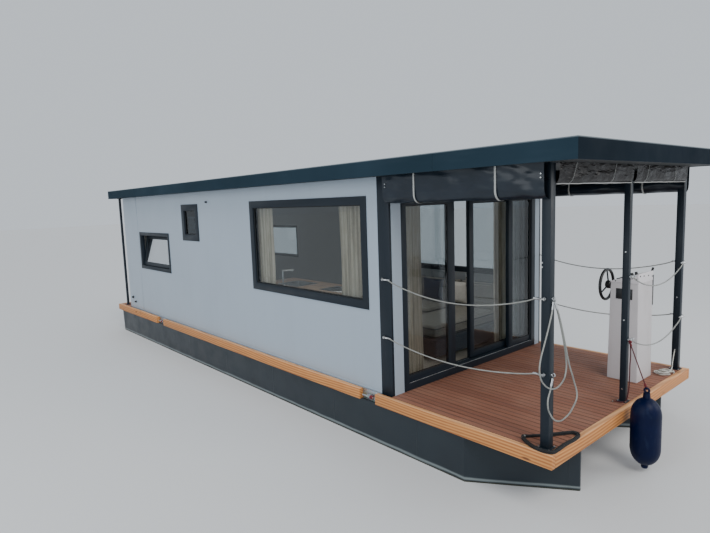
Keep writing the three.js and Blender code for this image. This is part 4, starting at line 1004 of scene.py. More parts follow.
# The aft door is a flat leaf with a light in its upper half, hung on three lift-off hinges at its
# port edge, and opens into the cabin.
DOOR_HALF = 0.325
DOOR_Z = (DECK + 0.040, DECK + 1.960)
LIGHT_HALF, LIGHT_Z = 0.215, (DECK + 1.050, DECK + 1.800)
PIN = (AFT + 0.068, DOOR_HALF + 0.003)
door_x = (AFT + 0.008, AFT + 0.053)
skin, coat, glazing, metal = blanks(4)
rims = (DOOR_HALF - LIGHT_HALF, DOOR_HALF - LIGHT_HALF, LIGHT_Z[0] - DOOR_Z[0], DOOR_Z[1] - LIGHT_Z[1])
surround(skin, (-DOOR_HALF, DOOR_HALF), DOOR_Z, rims, door_x, "x")
for near, far in ((door_x[0] - 0.001, door_x[0] + 0.012), (door_x[1] - 0.012, door_x[1] + 0.001)):
    surround(coat, (-LIGHT_HALF, LIGHT_HALF), LIGHT_Z, 0.018, (near, far), "x", 0.001)
block(glazing, (AFT + 0.022, -LIGHT_HALF, LIGHT_Z[0]), (AFT + 0.040, LIGHT_HALF, LIGHT_Z[1]))
for z in (DECK + 0.250, DECK + 1.000, DECK + 1.750):
    block(metal, (door_x[1] - 0.001, PIN[1] - 0.010, z + APART), (PIN[0], PIN[1], z + 0.060), 0.001)
    rod(metal, (*PIN, z + APART), (*PIN, z + 0.060), 0.0065)
for face, way in ((door_x[0], -1), (door_x[1], 1)):
    lock, out = Vector((face, -0.270, DECK + 0.960)), Vector((way, 0, 0))
    lever, key = lock + out * 0.036, lock - Vector((0, 0, 0.080))
    rod(metal, lock, lock + out * 0.006, 0.022)
    rod(metal, lock, lock + out * 0.042, 0.009)
    rod(metal, lever - Vector((0, 0.006, 0)), lever + Vector((0, 0.120, 0)), 0.009)
    rod(metal, key, key + out * 0.006, 0.015)
assembled("aft_door", "wall_panel", (
    ("skin", skin, wall_panel), ("trim", coat, powder_coat),
    ("pane", glazing, window_glass, "clear_glass"), ("fittings", metal, bright_steel)), "aft_door")

# The galley stands along the starboard wall below the large window. It is a pale carcass on a
# recessed plinth, with flush fronts, bar pulls and a thick oak worktop into which sink and hob are let.
FLOOR_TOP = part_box("cabin_floor")[1].z
galley_low, galley_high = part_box("galley")
GALLEY_X = (galley_low.x + 0.010, galley_high.x - 0.010)
GALLEY_Y = (-1.270, -0.722)
WORKTOP_LOW, WORKTOP_HIGH = galley_high.z - 0.041, galley_high.z
BOARD_THICK, FRONT_THICK, PLINTH, REVEAL = 0.018, 0.019, 0.090, 0.0015
SINK_X, SINK_Y = (GALLEY_X[0] + 0.260, GALLEY_X[0] + 0.740), (-1.180, -0.800)
carcass, fronts, metal, top = blanks(4)
box_low, box_high = FLOOR_TOP + PLINTH, WORKTOP_LOW - APART
carcass_front = GALLEY_Y[1] - FRONT_THICK - 0.002
back_board = GALLEY_Y[0] + 0.008
for x in (GALLEY_X[0], GALLEY_X[1] - BOARD_THICK):
    block(carcass, (x, GALLEY_Y[0], box_low), (x + BOARD_THICK, carcass_front, box_high), 0.001)
inside = inset(GALLEY_X, BOARD_THICK)
block(carcass, (inside[0], GALLEY_Y[0], box_low), (inside[1], back_board, box_high))
block(carcass, (inside[0], back_board, box_low), (inside[1], carcass_front, box_low + BOARD_THICK))
block(carcass, (GALLEY_X[0] + 0.020, GALLEY_Y[0] + 0.030, FLOOR_TOP + APART),
      (GALLEY_X[1] - 0.020, GALLEY_Y[1] - 0.070, box_low), 0.001)
column = (GALLEY_X[1] - GALLEY_X[0]) / 3
box_tall = box_high - box_low
for i, rows in enumerate(((0.0, 1.0), (0.0, 0.36, 0.70, 1.0), (0.0, 1.0))):
    x0, x1 = inset((GALLEY_X[0] + i * column, GALLEY_X[0] + (i + 1) * column), REVEAL)
    for low_share, high_share in zip(rows, rows[1:]):
        z0, z1 = inset((box_low + low_share * box_tall, box_low + high_share * box_tall), REVEAL)
        block(fronts, (x0, GALLEY_Y[1] - FRONT_THICK, z0), (x1, GALLEY_Y[1], z1), 0.0015)
        pull = Vector(((x0 + x1) / 2, GALLEY_Y[1] + 0.014, z1 - 0.045))
        for way in (-1, 1):
            rod(metal, pull + Vector((way * 0.064, -0.015, 0)), pull + Vector((way * 0.064, 0, 0)), 0.004)
        rod(metal, pull - Vector((0.080, 0, 0)), pull + Vector((0.080, 0, 0)), 0.005)
sink_rims = (SINK_X[0] - galley_low.x, galley_high.x - SINK_X[1],
             SINK_Y[0] - galley_low.y, galley_high.y - SINK_Y[1])
surround(top, (galley_low.x, galley_high.x), (galley_low.y, galley_high.y), sink_rims,
         (WORKTOP_LOW, WORKTOP_HIGH), "z", 0.003)
bowl = bmesh.new()
block(bowl, (SINK_X[0] + 0.001, SINK_Y[0] + 0.001, WORKTOP_HIGH - 0.170),
      (SINK_X[1] - 0.001, SINK_Y[1] - 0.001, WORKTOP_HIGH + 0.020), 0.035, 4)
bmesh.ops.bisect_plane(bowl, geom=bowl.verts[:] + bowl.edges[:] + bowl.faces[:],
                       plane_co=(0, 0, WORKTOP_HIGH - 0.002), plane_no=(0, 0, 1), clear_outer=True)
bmesh.ops.recalc_face_normals(bowl, faces=bowl.faces)
bmesh.ops.solidify(bowl, geom=bowl.faces[:], thickness=0.0012)
add(metal, bowl)
tap = Vector(((SINK_X[0] + SINK_X[1]) / 2, SINK_Y[0] - 0.045, WORKTOP_HIGH))
for start, end, radii in (
        ((0, 0, 0), (0, 0, 0.012), (0.024, 0.022)), ((0, 0, 0), (0, 0, 0.205), (0.011,)),
        ((0, -0.010, 0.198), (0, 0.165, 0.190), (0.0105, 0.0095)),
        ((0, 0.152, 0.192), (0, 0.152, 0.170), (0.009,)), ((0.008, 0, 0.070), (0.055, 0, 0.082), (0.005,))):
    rod(metal, tap + Vector(start), tap + Vector(end), *radii)
hob = bmesh.new()
HOB_X, HOB_Y = (GALLEY_X[1] - 0.640, GALLEY_X[1] - 0.140), (-1.130, -0.830)
block(hob, (HOB_X[0], HOB_Y[0], WORKTOP_HIGH - 0.001), (HOB_X[1], HOB_Y[1], WORKTOP_HIGH + 0.005), 0.002)
for x in (HOB_X[0] + 0.125, HOB_X[1] - 0.125):
    ring(hob, (x, (HOB_Y[0] + HOB_Y[1]) / 2, WORKTOP_HIGH + 0.0046), (0, 0, 1), 0.085, 0.0012, 6, 48)
hob_glass = cloudy("hob_glass", {"Coat Weight": 1.0, "Coat Roughness": 0.03}, (0.1, 0x0B0C0E, 0x141619),
                   (0.03, 0.08, 0.2))
matt_front = cloudy("matt_front", {"Coat Weight": 0.1}, (0.4, 0xC9C6BF, 0xD6D3CC), (0.02, 0.45, 0.6),
                    (0.003, 0.0001))
oak_top = Finish("oak_top", {})
oak_fibre = oak_top.noise(0.010, (24, 1, 1), detail=5.0)
STAVE_WIDE = 0.042
oak_stave = (oak_top.axis("Y") * (1 / STAVE_WIDE)).whole().chance()
oak_top.tint(oak_top.between(oak_fibre * 0.7 + oak_stave * 0.4, 0.2, 0.9), 0x6E4C2D, 0xA98158)
oak_top.roughen(oak_fibre, 0.38, 0.55)
oak_top.bump(oak_fibre, 0.0003)
assembled("galley", "galley_wood", (
    ("carcass", carcass, matt_front), ("fronts", fronts, matt_front), ("worktop", top, oak_top),
    ("metalwork", metal, bright_steel), ("hob", hob, hob_glass)))

# The sofa stands along the port wall, and its chaise reaches across the cabin behind the sliding
# door. Loose foam cushions with piped seams lie on a low upholstered frame with black feet.
sofa_low, sofa_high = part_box("sofa_seat")
back_low, back_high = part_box("sofa_back")
SOFA_FRONT, CHAISE_AFT = 0.505, BOW - 2.900
FRAME_TOP = back_low.z - APART
FOOT = 0.045


def woven(name, plain, threads, nap, dark, light, deep):
    """Upholstery cloth with so many threads to a metre under a nap."""
    cloth = Finish(name, plain)
    warp, weft, across = ((cloth.axis(letter) * threads).wave() for letter in "XYZ")
    thread = warp * weft + across * 0.5
    # The hollows between the threads are painted darker, as painted shade; the nap's tone is the cloth's own.
    cloth.tint(cloth.between(thread * 0.25 + cloth.noise(*nap), 0.1, 0.9), dark, light)
    cloth.bump(thread, deep)
    return cloth


sofa_cloth = woven("sofa_cloth", {"Roughness": 0.95, "Sheen Weight": 0.25}, 420, (0.18, (1, 1, 1), 4.0),
                   0x232A33, 0x39424D, 0.0003)
seat_cloth = woven("seat_cloth", {"Roughness": 0.92, "Sheen Weight": 0.3}, 330, (0.12, (1, 1, 1), 5.0),
                   0x706D64, 0x9B978B, 0.0004)
piping_cloth = cloudy("piping_cloth", {"Roughness": 0.85}, (0.02, 0x1B2027, 0x2B323B))


def plate(shape, outline, way, soft, segments=3):
    """A plate with a flat face along the outline, as thick as way is long, its edges eased by soft."""
    part = bmesh.new()
    thicken(part, [part.faces.new([part.verts.new(point) for point in outline])], way)
    ease(part, part.edges[:], soft, segments, True)
    add(shape, part)


plinth, feet = blanks(2)
sofa_outline = ((sofa_low.x, SOFA_FRONT), (CHAISE_AFT, SOFA_FRONT), (CHAISE_AFT, sofa_low.y),
                (sofa_high.x, sofa_low.y), (sofa_high.x, sofa_high.y), (sofa_low.x, sofa_high.y))
frame_low = FLOOR_TOP + FOOT
plate(plinth, [(x, y, frame_low) for x, y in sofa_outline], (0, 0, FRAME_TOP - frame_low), 0.022, 4)
FOOT_IN = 0.07
for x, y in ((sofa_low.x + 0.08, SOFA_FRONT + FOOT_IN), (sofa_low.x + 0.08, sofa_high.y - FOOT_IN),
             (CHAISE_AFT + FOOT_IN, sofa_low.y + FOOT_IN), (sofa_high.x - FOOT_IN, sofa_low.y + FOOT_IN),
             (sofa_high.x - FOOT_IN, sofa_high.y - FOOT_IN), (CHAISE_AFT + FOOT_IN, SOFA_FRONT + FOOT_IN)):
    rod(feet, (x, y, FLOOR_TOP + APART), (x, y, frame_low + 0.004), 0.016, 0.021)
for word, shape, finish in (("frame", plinth, sofa_cloth), ("feet", feet, black_rubber)):
    stand_in(piece(f"sofa_{word}", shape, finish), "sofa_seat", "sofa_cloth")

# The pressure in the bags, and for how many frames they are blown up
PRESSURE, FRAMES = 4, 20


def stuffed(name, shape, cell, voxel, swell, finish, node, slot="sofa_cloth"):
    """A cushion blown up from a slack bag by cloth simulation, and kept inside its cell."""
    bag = piece(name, shape, finish, angle=180)
    bpy.context.view_layer.update()
    skin = bag.modifiers.new("skin", "REMESH")
    skin.mode = "VOXEL"
    skin.voxel_size = voxel
    skin.use_smooth_shade = True
    graph = bpy.context.evaluated_depsgraph_get()
    even = bpy.data.meshes.new_from_object(bag.evaluated_get(graph))
    bag.modifiers.remove(skin)
    bag.data = even
    rest = [vert.co.copy() for vert in even.vertices]
    cloth = bag.modifiers.new("cloth", "CLOTH")
    cloth.settings.use_pressure = True
    cloth.settings.uniform_pressure_force = PRESSURE
    cloth.settings.effector_weights.gravity = 0
    for number in range(1, FRAMES + 1):
        bpy.context.scene.frame_set(number)
    blown = bag.evaluated_get(bpy.context.evaluated_depsgraph_get()).data
    for vert, before, after in zip(even.vertices, rest, [vert.co.copy() for vert in blown.vertices]):
        move = after - before
        vert.co = before + move * min(1, swell / max(move.length, 1e-6))
    bag.modifiers.remove(cloth)
    bpy.context.scene.frame_set(1)
    low, high = cell
    for vert in even.vertices:
        vert.co = [min(max(value, least), most) for value, least, most in zip(vert.co, low, high)]
    fine = bag.modifiers.new("fine", "SUBSURF")
    fine.levels = fine.render_levels = 1
    stand_in(bag, node, slot)
    return bag


PIPING = 0.0038


def piping(name, bag, outline, node):
    """A piped seam laid on a cushion, near the points of the outline; its knots have the cord's radius."""
    tree = BVHTree.FromPolygons([vert.co for vert in bag.data.vertices],
                                [tuple(face.vertices) for face in bag.data.polygons])
    on_skin = [tree.find_nearest(Vector(point)) for point in outline]
    seam = line(name, [spot[0] + spot[1] * 0.001 for spot in on_skin], 1.0, piping_cloth, smooth=3)
    loop = seam.data.splines[0]
    loop.use_cyclic_u = True
    for knot in loop.bezier_points:
        knot.radius = PIPING
    stand_in(seam, node, "sofa_cloth")


def around(low, high, level, axis, corner=0.045):
    """Points round a cushion's edge, with rounded corners, at one level along an axis."""
    flat = []
    first, second = [i for i in range(3) if i != axis]
    (u0, u1), (v0, v1) = ((low[i] + corner, high[i] - corner) for i in (first, second))
    middles = [Vector(middle) for middle in ((u1, v1), (u0, v1), (u0, v0), (u1, v0))]
    for turn, middle in enumerate(middles):
        for i in range(5):
            angle = math.radians(90 * turn + 22.5 * i)
            flat.append(middle + corner * Vector((math.cos(angle), math.sin(angle))))
        last, shift = flat[-1], middles[(turn + 1) % 4] - middle
        flat += [last + shift * i / 10 for i in range(1, 10)]
    points = []
    for u, v in flat:
        point = [level] * 3
        point[first], point[second] = u, v
        points.append(point)
    return points


SLACK = 0.010
seat_middle = (sofa_low.x + CHAISE_AFT) / 2
# Where each cushion starts and ends along the sofa, and where its seat's front edge is
PLACES = (("aft", sofa_low.x, seat_middle, SOFA_FRONT), ("middle", seat_middle, CHAISE_AFT, SOFA_FRONT),
          ("chaise", CHAISE_AFT, sofa_high.x, sofa_low.y))
skin_thick, slack_thick = Vector((0.001,) * 3), Vector((SLACK,) * 3)
for part, node, axis in (("seat", "sofa_seat", 2), ("back", "sofa_back", 1)):
    for word, aft, fore, front in PLACES:
        low = Vector((aft, front if part == "seat" else back_low.y, FRAME_TOP)) + skin_thick
        high = (fore, back_low.y, sofa_high.z) if part == "seat" else (fore, back_high.y, back_high.z)
        high = Vector(high) - skin_thick
        start_low, start_high = low + slack_thick, high - slack_thick
        bag = bmesh.new()
        block(bag, start_low, start_high, 0.030, 3)
        name = f"sofa_{part}_{word}"
        cushion = stuffed(name, bag, (low, high), 0.016, 0.020, seat_cloth, node)
        for end, edge in (("near", start_low[axis] + 0.012), ("far", start_high[axis] - 0.012)):
            piping(f"{name}_piping_{end}", cushion, around(start_low, start_high, edge, axis), node)

# Two scatter cushions, one navy and one white, lean on the sofa's back. Each is a square cover
# with pulled-in sides and pointed corners round a soft filling.
for name, tones, lean_angle, slot in (("pillow_navy", (0x121B33, 0x1F2C4C), 4, "navy_cloth"),
                                      ("pillow_white", (0xC9C6BE, 0xE2DFD7), 5, "white_cloth")):
    low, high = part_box(name)
    middle, half = (low + high) / 2, (high - low) / 2
    cover = Finish(name + "_cover", {"Roughness": 0.9, "Sheen Weight": 0.2})
    rib = (cover.axis("X") * 260 + cover.axis("Z") * 90).wave()
    # The hollows between the ribs are painted darker, as painted shade; the noise is the cloth's own tone.
    cover.tint(cover.between(rib * 0.3 + cover.noise(0.05), 0.1, 0.9), *tones)
    cover.bump(rib, 0.0004)
    bag = bmesh.new()
    bmesh.ops.create_cube(bag, size=2)
    bmesh.ops.subdivide_edges(bag, edges=bag.edges[:], cuts=11, use_grid_fill=True)
    for vert in bag.verts:
        u, depth, v = vert.co
        plump = (1 - u ** 2) * (1 - v ** 2)
        vert.co = ((half.x - 0.012) * u * (1 - 0.07 * (1 - v * v)), depth * (0.010 + 0.042 * plump ** 0.6),
                   (half.z - 0.012) * v * (1 - 0.07 * (1 - u * u)))
    turn = Matrix.Translation(middle) @ Matrix.Rotation(math.radians(-lean_angle), 4, "X")
    bmesh.ops.transform(bag, matrix=turn, verts=bag.verts)
    bmesh.ops.recalc_face_normals(bag, faces=bag.faces)
    stuffed("scatter_" + name, bag, (low, high), 0.008, 0.018, cover, name, slot)

# Linen curtains hang in deep pleats from rings on dark rods, beside the large starboard window
# and beside the sliding door.
linen = Finish("linen", {"Roughness": 0.9, "Sheen Weight": 0.15})
linen_thread = (linen.axis("X", "UV") * 300).wave() * 0.5 + (linen.axis("Y", "UV") * 700).wave() * 0.5
linen_slub = linen.noise(0.03, (1, 1, 6), detail=4.0)
# Narrow upright streaks are painted darker, as painted shade in the folds.
linen_fold_shade = linen.between(linen.noise(0.026, (1, 1, 60), detail=1.0), 0.42, 0.66)
# The hollows of the weave are painted darker, as painted shade; the slubs are the linen's own tone.
linen_light = linen.between(linen_thread * 0.3 + linen_slub, 0.1, 0.9)
linen_tone = linen.mix(linen_light, shade(0xC6B69C), shade(0xEFE2CE))
linen.set("Base Color", linen.mix(linen_fold_shade * 0.55, linen_tone, shade(0x7A6655)))
linen.bump(linen_thread, 0.0003)
CURTAIN_TOP = DECK + 2.110
CLOTH_TOP = CURTAIN_TOP - 0.030
ROD_Z, ROD_RADIUS = CURTAIN_TOP - 0.012, 0.011
PLEAT = 0.062


def drape(name, start, end, deep, low, node):
    """One curtain, hung in pleats between two points on its rod."""
    start, end = Vector(start), Vector(end)
    along = (end - start).normalized()
    out = Vector((-along.y, along.x, 0))
    wide = (end - start).length
    pleats = round(wide / PLEAT)
    columns, rows = pleats * 12, 30
    cloth = bmesh.new()
    bmesh.ops.create_grid(cloth, x_segments=columns, y_segments=rows, size=0.5, calc_uvs=True)
    for vert in cloth.verts:
        s, t = vert.co.x + 0.5, vert.co.y + 0.5
        uneven = 0.22 * noise.noise(Vector((s * 5, t * 1.3, wide * 31)))
        turn = math.tau * (pleats * s + uneven * (1 - t))
        reach = deep * (0.82 + 0.18 * (1 - t)) * math.sin(turn)
        swing = 0.25 * deep * noise.noise(Vector((s * 9, t * 2.1, wide * 17))) * (1 - t)
        place = start.lerp(end, s) + out * (reach * 0.9 + swing)
        place += along * (math.sin(2 * turn) * PLEAT * 0.07)
        place.z = low + (CLOTH_TOP - low) * t
        vert.co = place
    pitch = wide / pleats
    steps = [Vector((x / 200 * pitch, deep * 0.8 * math.sin(math.tau * x / 200))) for x in range(201)]
    made = stand_in(piece(name, cloth, linen, angle=180), node, "linen")
    rings = bmesh.new()
    for i in range(pleats):
        spot = start.lerp(end, (i + 0.5) / pleats)
        ring(rings, (spot.x, spot.y, ROD_Z), along, ROD_RADIUS + 0.004, 0.0018, 6, 20)
        rod(rings, (spot.x, spot.y, ROD_Z - 0.016), (spot.x, spot.y, ROD_Z - 0.026), 0.0018, sides=8)
    hooks = stand_in(piece(name + "_rings", rings, bright_steel), node, "linen")
    flat = (round(length_of(steps) * pleats, 2), round(CLOTH_TOP - low, 2))


for node, ends, spans, deep, low in (
        ("curtains_starboard", ((BOW - 4.420, -1.313), (BOW - 1.990, -1.313)),
         ((BOW - 4.370, BOW - 3.935), (BOW - 2.615, BOW - 2.105)), 0.027, DECK + 0.932),
        ("curtains_door", ((FRONT - 0.215, -1.3547), (FRONT - 0.215, 1.3547)),
         ((-1.285, -0.715), (0.695, 1.295)), 0.029, FLOOR_TOP + 0.014)):
    (x0, y0), (x1, y1) = ends
    pole = bmesh.new()
    rod(pole, (x0, y0, ROD_Z), (x1, y1, ROD_Z), ROD_RADIUS, sides=24)
    lengthwise = y0 == y1
    if lengthwise:
        for x in (BOW - 4.410, BOW - 2.020):
            block(pole, (x, -WALL_IN + APART, CLOTH_TOP), (x + 0.020, y0 + 0.006, CURTAIN_TOP - 0.006), 0.002)
    else:
        for y, way in ((y0, 1), (y1, -1)):
            rod(pole, (x0, y, ROD_Z), (x0, y + way * 0.008, ROD_Z), 0.026, sides=24)
    made, = assembled(node, "linen", (("rod", pole, powder_coat),))
    for word, (first, last) in zip("ab", spans):
        start, end = ((first, y0), (last, y0)) if lengthwise else ((x0, first), (x0, last))
        drape(f"{node}_{word}", (*start, 0), (*end, 0), deep, low, node)

# Three square steel tubes carry the front of the roof. Each stands on a bolted base plate and
# carries rope eyes, and two thin round poles carry the roof at the stern.
BASE_LAP, BASE_THICK = 0.016, 0.008
# Button studs on each post's starboard face: how far from its middle, and above the deck
POST_STUDS = {
    "post_starboard": ((-0.028, 1.474), (-0.028, 1.441)),
    "post_middle": ((0, 1.432), (0, 0.792), (0, 0.128)),
    "post_port": ((0, 0.812), (0, 0.226)),
}
for name, (from_bow, y, wide, sides) in ROOF_POSTS.items():
    x = BOW + from_bow
    steel, metal = blanks(2)
    half, foot = wide / 2, wide / 2 + BASE_LAP
    for reach, low, high, soft in (
            (half, DECK + APART, ROOF_UNDER, 0.004), (foot, DECK + APART, DECK + BASE_THICK, 0.0015),
            (foot - 0.006, ROOF_UNDER - 0.006, ROOF_UNDER, 0.0015)):
        block(steel, (x - reach, y - reach, low), (x + reach, y + reach, high), soft)
    for across in (-1, 1):
        for along in (-1, 1):
            bolt = Vector((x + along * (foot - 0.008), y + across * (foot - 0.008), DECK + BASE_THICK))
            rod(metal, bolt, bolt + Vector((0, 0, 0.006)), 0.0065, 0.0060, 6)
    for nx, ny in sides:
        for height in EYE_HEIGHTS:
            rope_eye(metal, (x + nx * half, y + ny * half, height), (nx, ny, 0))
    for off, height in POST_STUDS[name]:
        stud = Vector((x + off, y - half, DECK + height))
        rod(metal, stud - Vector((0, 0.006, 0)), stud, 0.006, 0.008, 12)
    assembled(name, "anthracite", (("tube", steel, powder_coat), ("fittings", metal, bright_steel)))

for node in ("pole_starboard", "pole_port"):
    low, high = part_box(node)
    x, y = (low.x + high.x) / 2, (low.y + high.y) / 2
    steel = bmesh.new()
    for foot, top, radius in (
            (low.z, high.z, 0.025), (low.z, low.z + 0.010, 0.042), (high.z - 0.010, high.z, 0.042)):
        rod(steel, (x, y, foot), (x, y, top), radius, sides=32)
    assembled(node, "anthracite", (("tube", steel, powder_coat),))

# Tarps close the terrace in bad weather. Each is a sheet fixed under the roof edge, rolled up and
# held by webbing straps: dark PVC along the sides and brownish film across the bow.
tarp_pvc = Finish("tarp_pvc", {"Specular IOR Level": 0.35, "Roughness": 0.28})
tarp_pvc.tint(tarp_pvc.noise(0.3), 0x101820, 0x1F2A35)
tarp_pvc.bump(tarp_pvc.noise(0.20, (2.5, 1, 1), detail=2.0), 0.085)
clear_film = Finish("clear_film", {"Specular IOR Level": 0.12, "Roughness": 0.25})
clear_film.tint(clear_film.noise(0.16, (1, 1.6, 1), detail=5.0), 0x050607, 0x241F1F)
clear_film.bump(clear_film.noise(0.09, (1, 3, 1), detail=4.0), 0.03)
webbing = Finish("webbing", {"Roughness": 0.85})
weave = (webbing.axis("X") * 500).wave() * (webbing.axis("Z") * 500).wave()
# The hollows of the weave are painted darker, as painted shade.
webbing.tint(webbing.between(weave, -1, 1), 0x8F9190, 0xC2C3BF)
webbing.bump(weave, 0.0004)
hem_cord = cloudy("hem_cord", {"Roughness": 0.6}, (0.05, 0xA9AAA8, 0xDADAD6))
# The roll's pitch and the radius of its core; the rows that hang, the points of the roll, the columns
TARP_PITCH, TARP_CORE = 0.011, 0.016
TARP_HANG, ROLL_STEPS, TARP_COLUMNS = 8, 150, 64
# How far the side tarps' hanging film reaches past the roll, on to the post
FILM_PAST = 0.072
HEM_ANGLE = math.radians(55)
# name: start and end, roll radius, its bottom above the deck, the way out, and each strap's place
# from the start in metres: at the roof and at the roll
TARPS = {
    "tarp_starboard": ((FRONT + 0.008, -1.428), (BOW - 0.152, -1.428), 0.084, 1.948, (0, -1),
                       ((0.405, 0.405), (1.250, 1.250))),
    "tarp_port": ((FRONT + 0.008, 1.428), (BOW - 0.148, 1.428), 0.084, 1.945, (0, 1),
                  ((0.405, 0.405), (1.250, 1.250))),
    "tarp_bow_starboard": ((BOW - 0.100, -1.346), (BOW - 0.100, -0.015), 0.062, 2.052, (1, 0),
                           ((0.258, 0.170), (0.953, 0.880))),
    "tarp_bow_port": ((BOW - 0.100, 0.053), (BOW - 0.100, 1.352), 0.062, 2.052, (1, 0),
                      ((0.265, 0.185), (0.930, 0.938))),
}


def rolled_profile(radius, bottom):
    """Points across the sheet, out and up: down the outer side, then round under and into the roll."""
    centre = DECK + bottom + radius
    top = ROOF_UNDER - 0.0005
    points = [(radius, top + (centre - top) * i / TARP_HANG) for i in range(TARP_HANG)]
    turns = (radius - TARP_CORE) / TARP_PITCH
    for i in range(ROLL_STEPS):
        angle = i / (ROLL_STEPS - 1) * turns * math.tau
        reach = radius - TARP_PITCH * angle / math.tau
        points.append((reach * math.cos(angle), centre - reach * math.sin(angle)))
    return points


def strap(shape, path, lean, wide, place):
    """A flat band along a path of points out and up, which leans along the tarp as it goes down."""
    part = bmesh.new()
    rows = []
    top, bottom = path[0][1], min(height for _, height in path)
    for out, height in path:
        along = lean[0] + (lean[1] - lean[0]) * (top - height) / (top - bottom)
        rows.append([part.verts.new((out, along + way * wide / 2, height)) for way in (-1, 1)])
    for first, second in zip(rows, rows[1:]):
        part.faces.new((*first, *reversed(second)))
    bmesh.ops.transform(part, matrix=place, verts=part.verts)
    bmesh.ops.recalc_face_normals(part, faces=part.faces)
    bmesh.ops.solidify(part, geom=part.faces[:], thickness=0.0012)
    add(shape, part)


for name, (start, end, radius, bottom, out, straps) in TARPS.items():
    bow = "bow" in name
    profile = rolled_profile(radius - 0.004, bottom + 0.004)
    rows = len(profile) - 1
    start, end, out = Vector((*start, 0)), Vector((*end, 0)), Vector((*out, 0))
    long, along = (end - start).length, (end - start).normalized()
    centre = DECK + bottom + radius
    sheet = bmesh.new()
    bmesh.ops.create_grid(sheet, x_segments=TARP_COLUMNS, y_segments=rows, size=0.5)
    for vert in sheet.verts:
        s, t = vert.co.x + 0.5, (vert.co.y + 0.5) * rows
        reach, height = profile[min(round(t), rows)]
        place = start.lerp(end, s) + out * reach
        place.z = height
        share = min(t / TARP_HANG, 1)
        if not bow:
            place += along * FILM_PAST * max(s * 25 - 24, 0) * min(max((TARP_HANG + 40 - t) / 20, 0), 1)
        place -= out * (0.004 + 0.004 * noise.noise(Vector((s * long * 5, height * 9, radius * 90)))) * share
        place.z += 0.006 * noise.noise(Vector((s * long * 3, 7.3, radius * 50))) * share
        vert.co = place
    roll = piece(name + "_sheet", sheet, clear_film if bow else tarp_pvc, angle=180)
    path = [(radius + 0.001, ROOF_UNDER - 0.001 + (centre - ROOF_UNDER) * i / 6) for i in range(6)]
    path += [((radius + 0.001) * math.cos(a), centre - (radius + 0.001) * math.sin(a))
             for a in (math.pi * i / 18 for i in range(19))]
    path.append((-radius * 0.7, ROOF_UNDER - 0.001))
    place = Matrix.Translation(start) @ Matrix((out, along, (0, 0, 1))).transposed().to_4x4()
    bands, studs = blanks(2)
    for lean in straps:
        strap(bands, path, lean, 0.005 if bow else 0.018, place)
    for stud_along in (0.040, long + FILM_PAST - 0.022) if not bow else ():
        for height in (2.112, 2.140):
            spot = start + along * stud_along + out * (radius - 0.001)
            spot.z = DECK + height
            rod(studs, spot, spot + out * 0.005, 0.007, 0.005, 12)
    made = [roll, piece(name + "_straps", bands, webbing)]
    if name != "tarp_starboard":
        low = centre - radius * math.sin(HEM_ANGLE)
        side = start + out * (radius - 0.004) * math.cos(HEM_ANGLE)
        hem = [(side.x + along.x * long * i / 40, side.y + along.y * long * i / 40,
                low + 0.003 * noise.noise(Vector((i * 0.31, radius * 70, 0)))) for i in range(41)]
        made.append(line(name + "_hem", hem, 0.0035, hem_cord, smooth=2))
    if not bow:
        made.append(piece(name + "_studs", studs, bright_steel))
    for part in made:
        stand_in(part, name, "tarp_film")

# The helm console is a moulded glass-fibre pedestal whose sides taper upwards and whose lid slopes
# down to the helm. A gauge panel is let into its starboard face, and the throttle stands in a
# control box on its port face.
CONSOLE_Y = (0.604, 0.978)
CONSOLE_AFT, CONSOLE_FORE = BOW - 0.492, BOW - 0.214
LID_LOW, LID_AFT, LID_FORE = 1.040, 1.055, 1.143
moulded = Finish("moulded_shell", {"Coat Weight": 0.15, "Coat Roughness": 0.35})
fleck = moulded.between(moulded.cells(260.0), 0.10, 0.28, 1.0, 0.0)
stain = moulded.between(moulded.noise(0.14, (1, 1, 4)), 0.5, 0.8)
moulded_tone = moulded.mix(fleck * 0.35, shade(0xC2BEC0), shade(0x8F8A8E))
moulded_tone = moulded.mix(stain * 0.25, moulded_tone, shade(0x968F8A))
# A strip of the starboard face by the fore edge is painted darker, as a painted shadow.
painted_edge_shadow = (moulded.axis("X") > CONSOLE_FORE - 0.075) * (moulded.axis("Y") < CONSOLE_Y[0] + 0.002)
moulded_tone = moulded.mix(painted_edge_shadow * 0.35, moulded_tone, shade(0x7B7576))
moulded.set("Base Color", moulded.mix(moulded.axis("Z") > DECK + LID_LOW, moulded_tone, shade(0xD5D1D4)))
moulded.roughen(moulded.noise(0.1), 0.45, 0.65)
moulded.bump(moulded.noise(0.006), 0.0005)
slope = math.atan2(LID_FORE - LID_AFT, CONSOLE_FORE - CONSOLE_AFT)


def side_plate(shape, outline, span, soft, segments=3):
    """A plate whose side view is the outline and which fills a span of y."""
    plate(shape, [(x, span[0], z) for x, z in outline], (0, span[1] - span[0], 0), soft, segments)


def console_edge(way, height):
    """Where the console's fore or aft edge is at a height above the deck."""
    fore, aft = (BOW - 0.202, CONSOLE_FORE, LID_FORE), (BOW - 0.510, CONSOLE_AFT, LID_AFT)
    foot, top, tall = fore if way > 0 else aft
    return foot + (top - foot) * height / tall


def on_slope(along, across, lift=0.0):
    """A point on the console's sloping lid."""
    along_top = Vector((math.cos(slope), 0, math.sin(slope)))
    lifted = Vector((-math.sin(slope), 0, math.cos(slope)))
    return Vector((CONSOLE_AFT, across, DECK + LID_AFT)) + along_top * along + lifted * lift


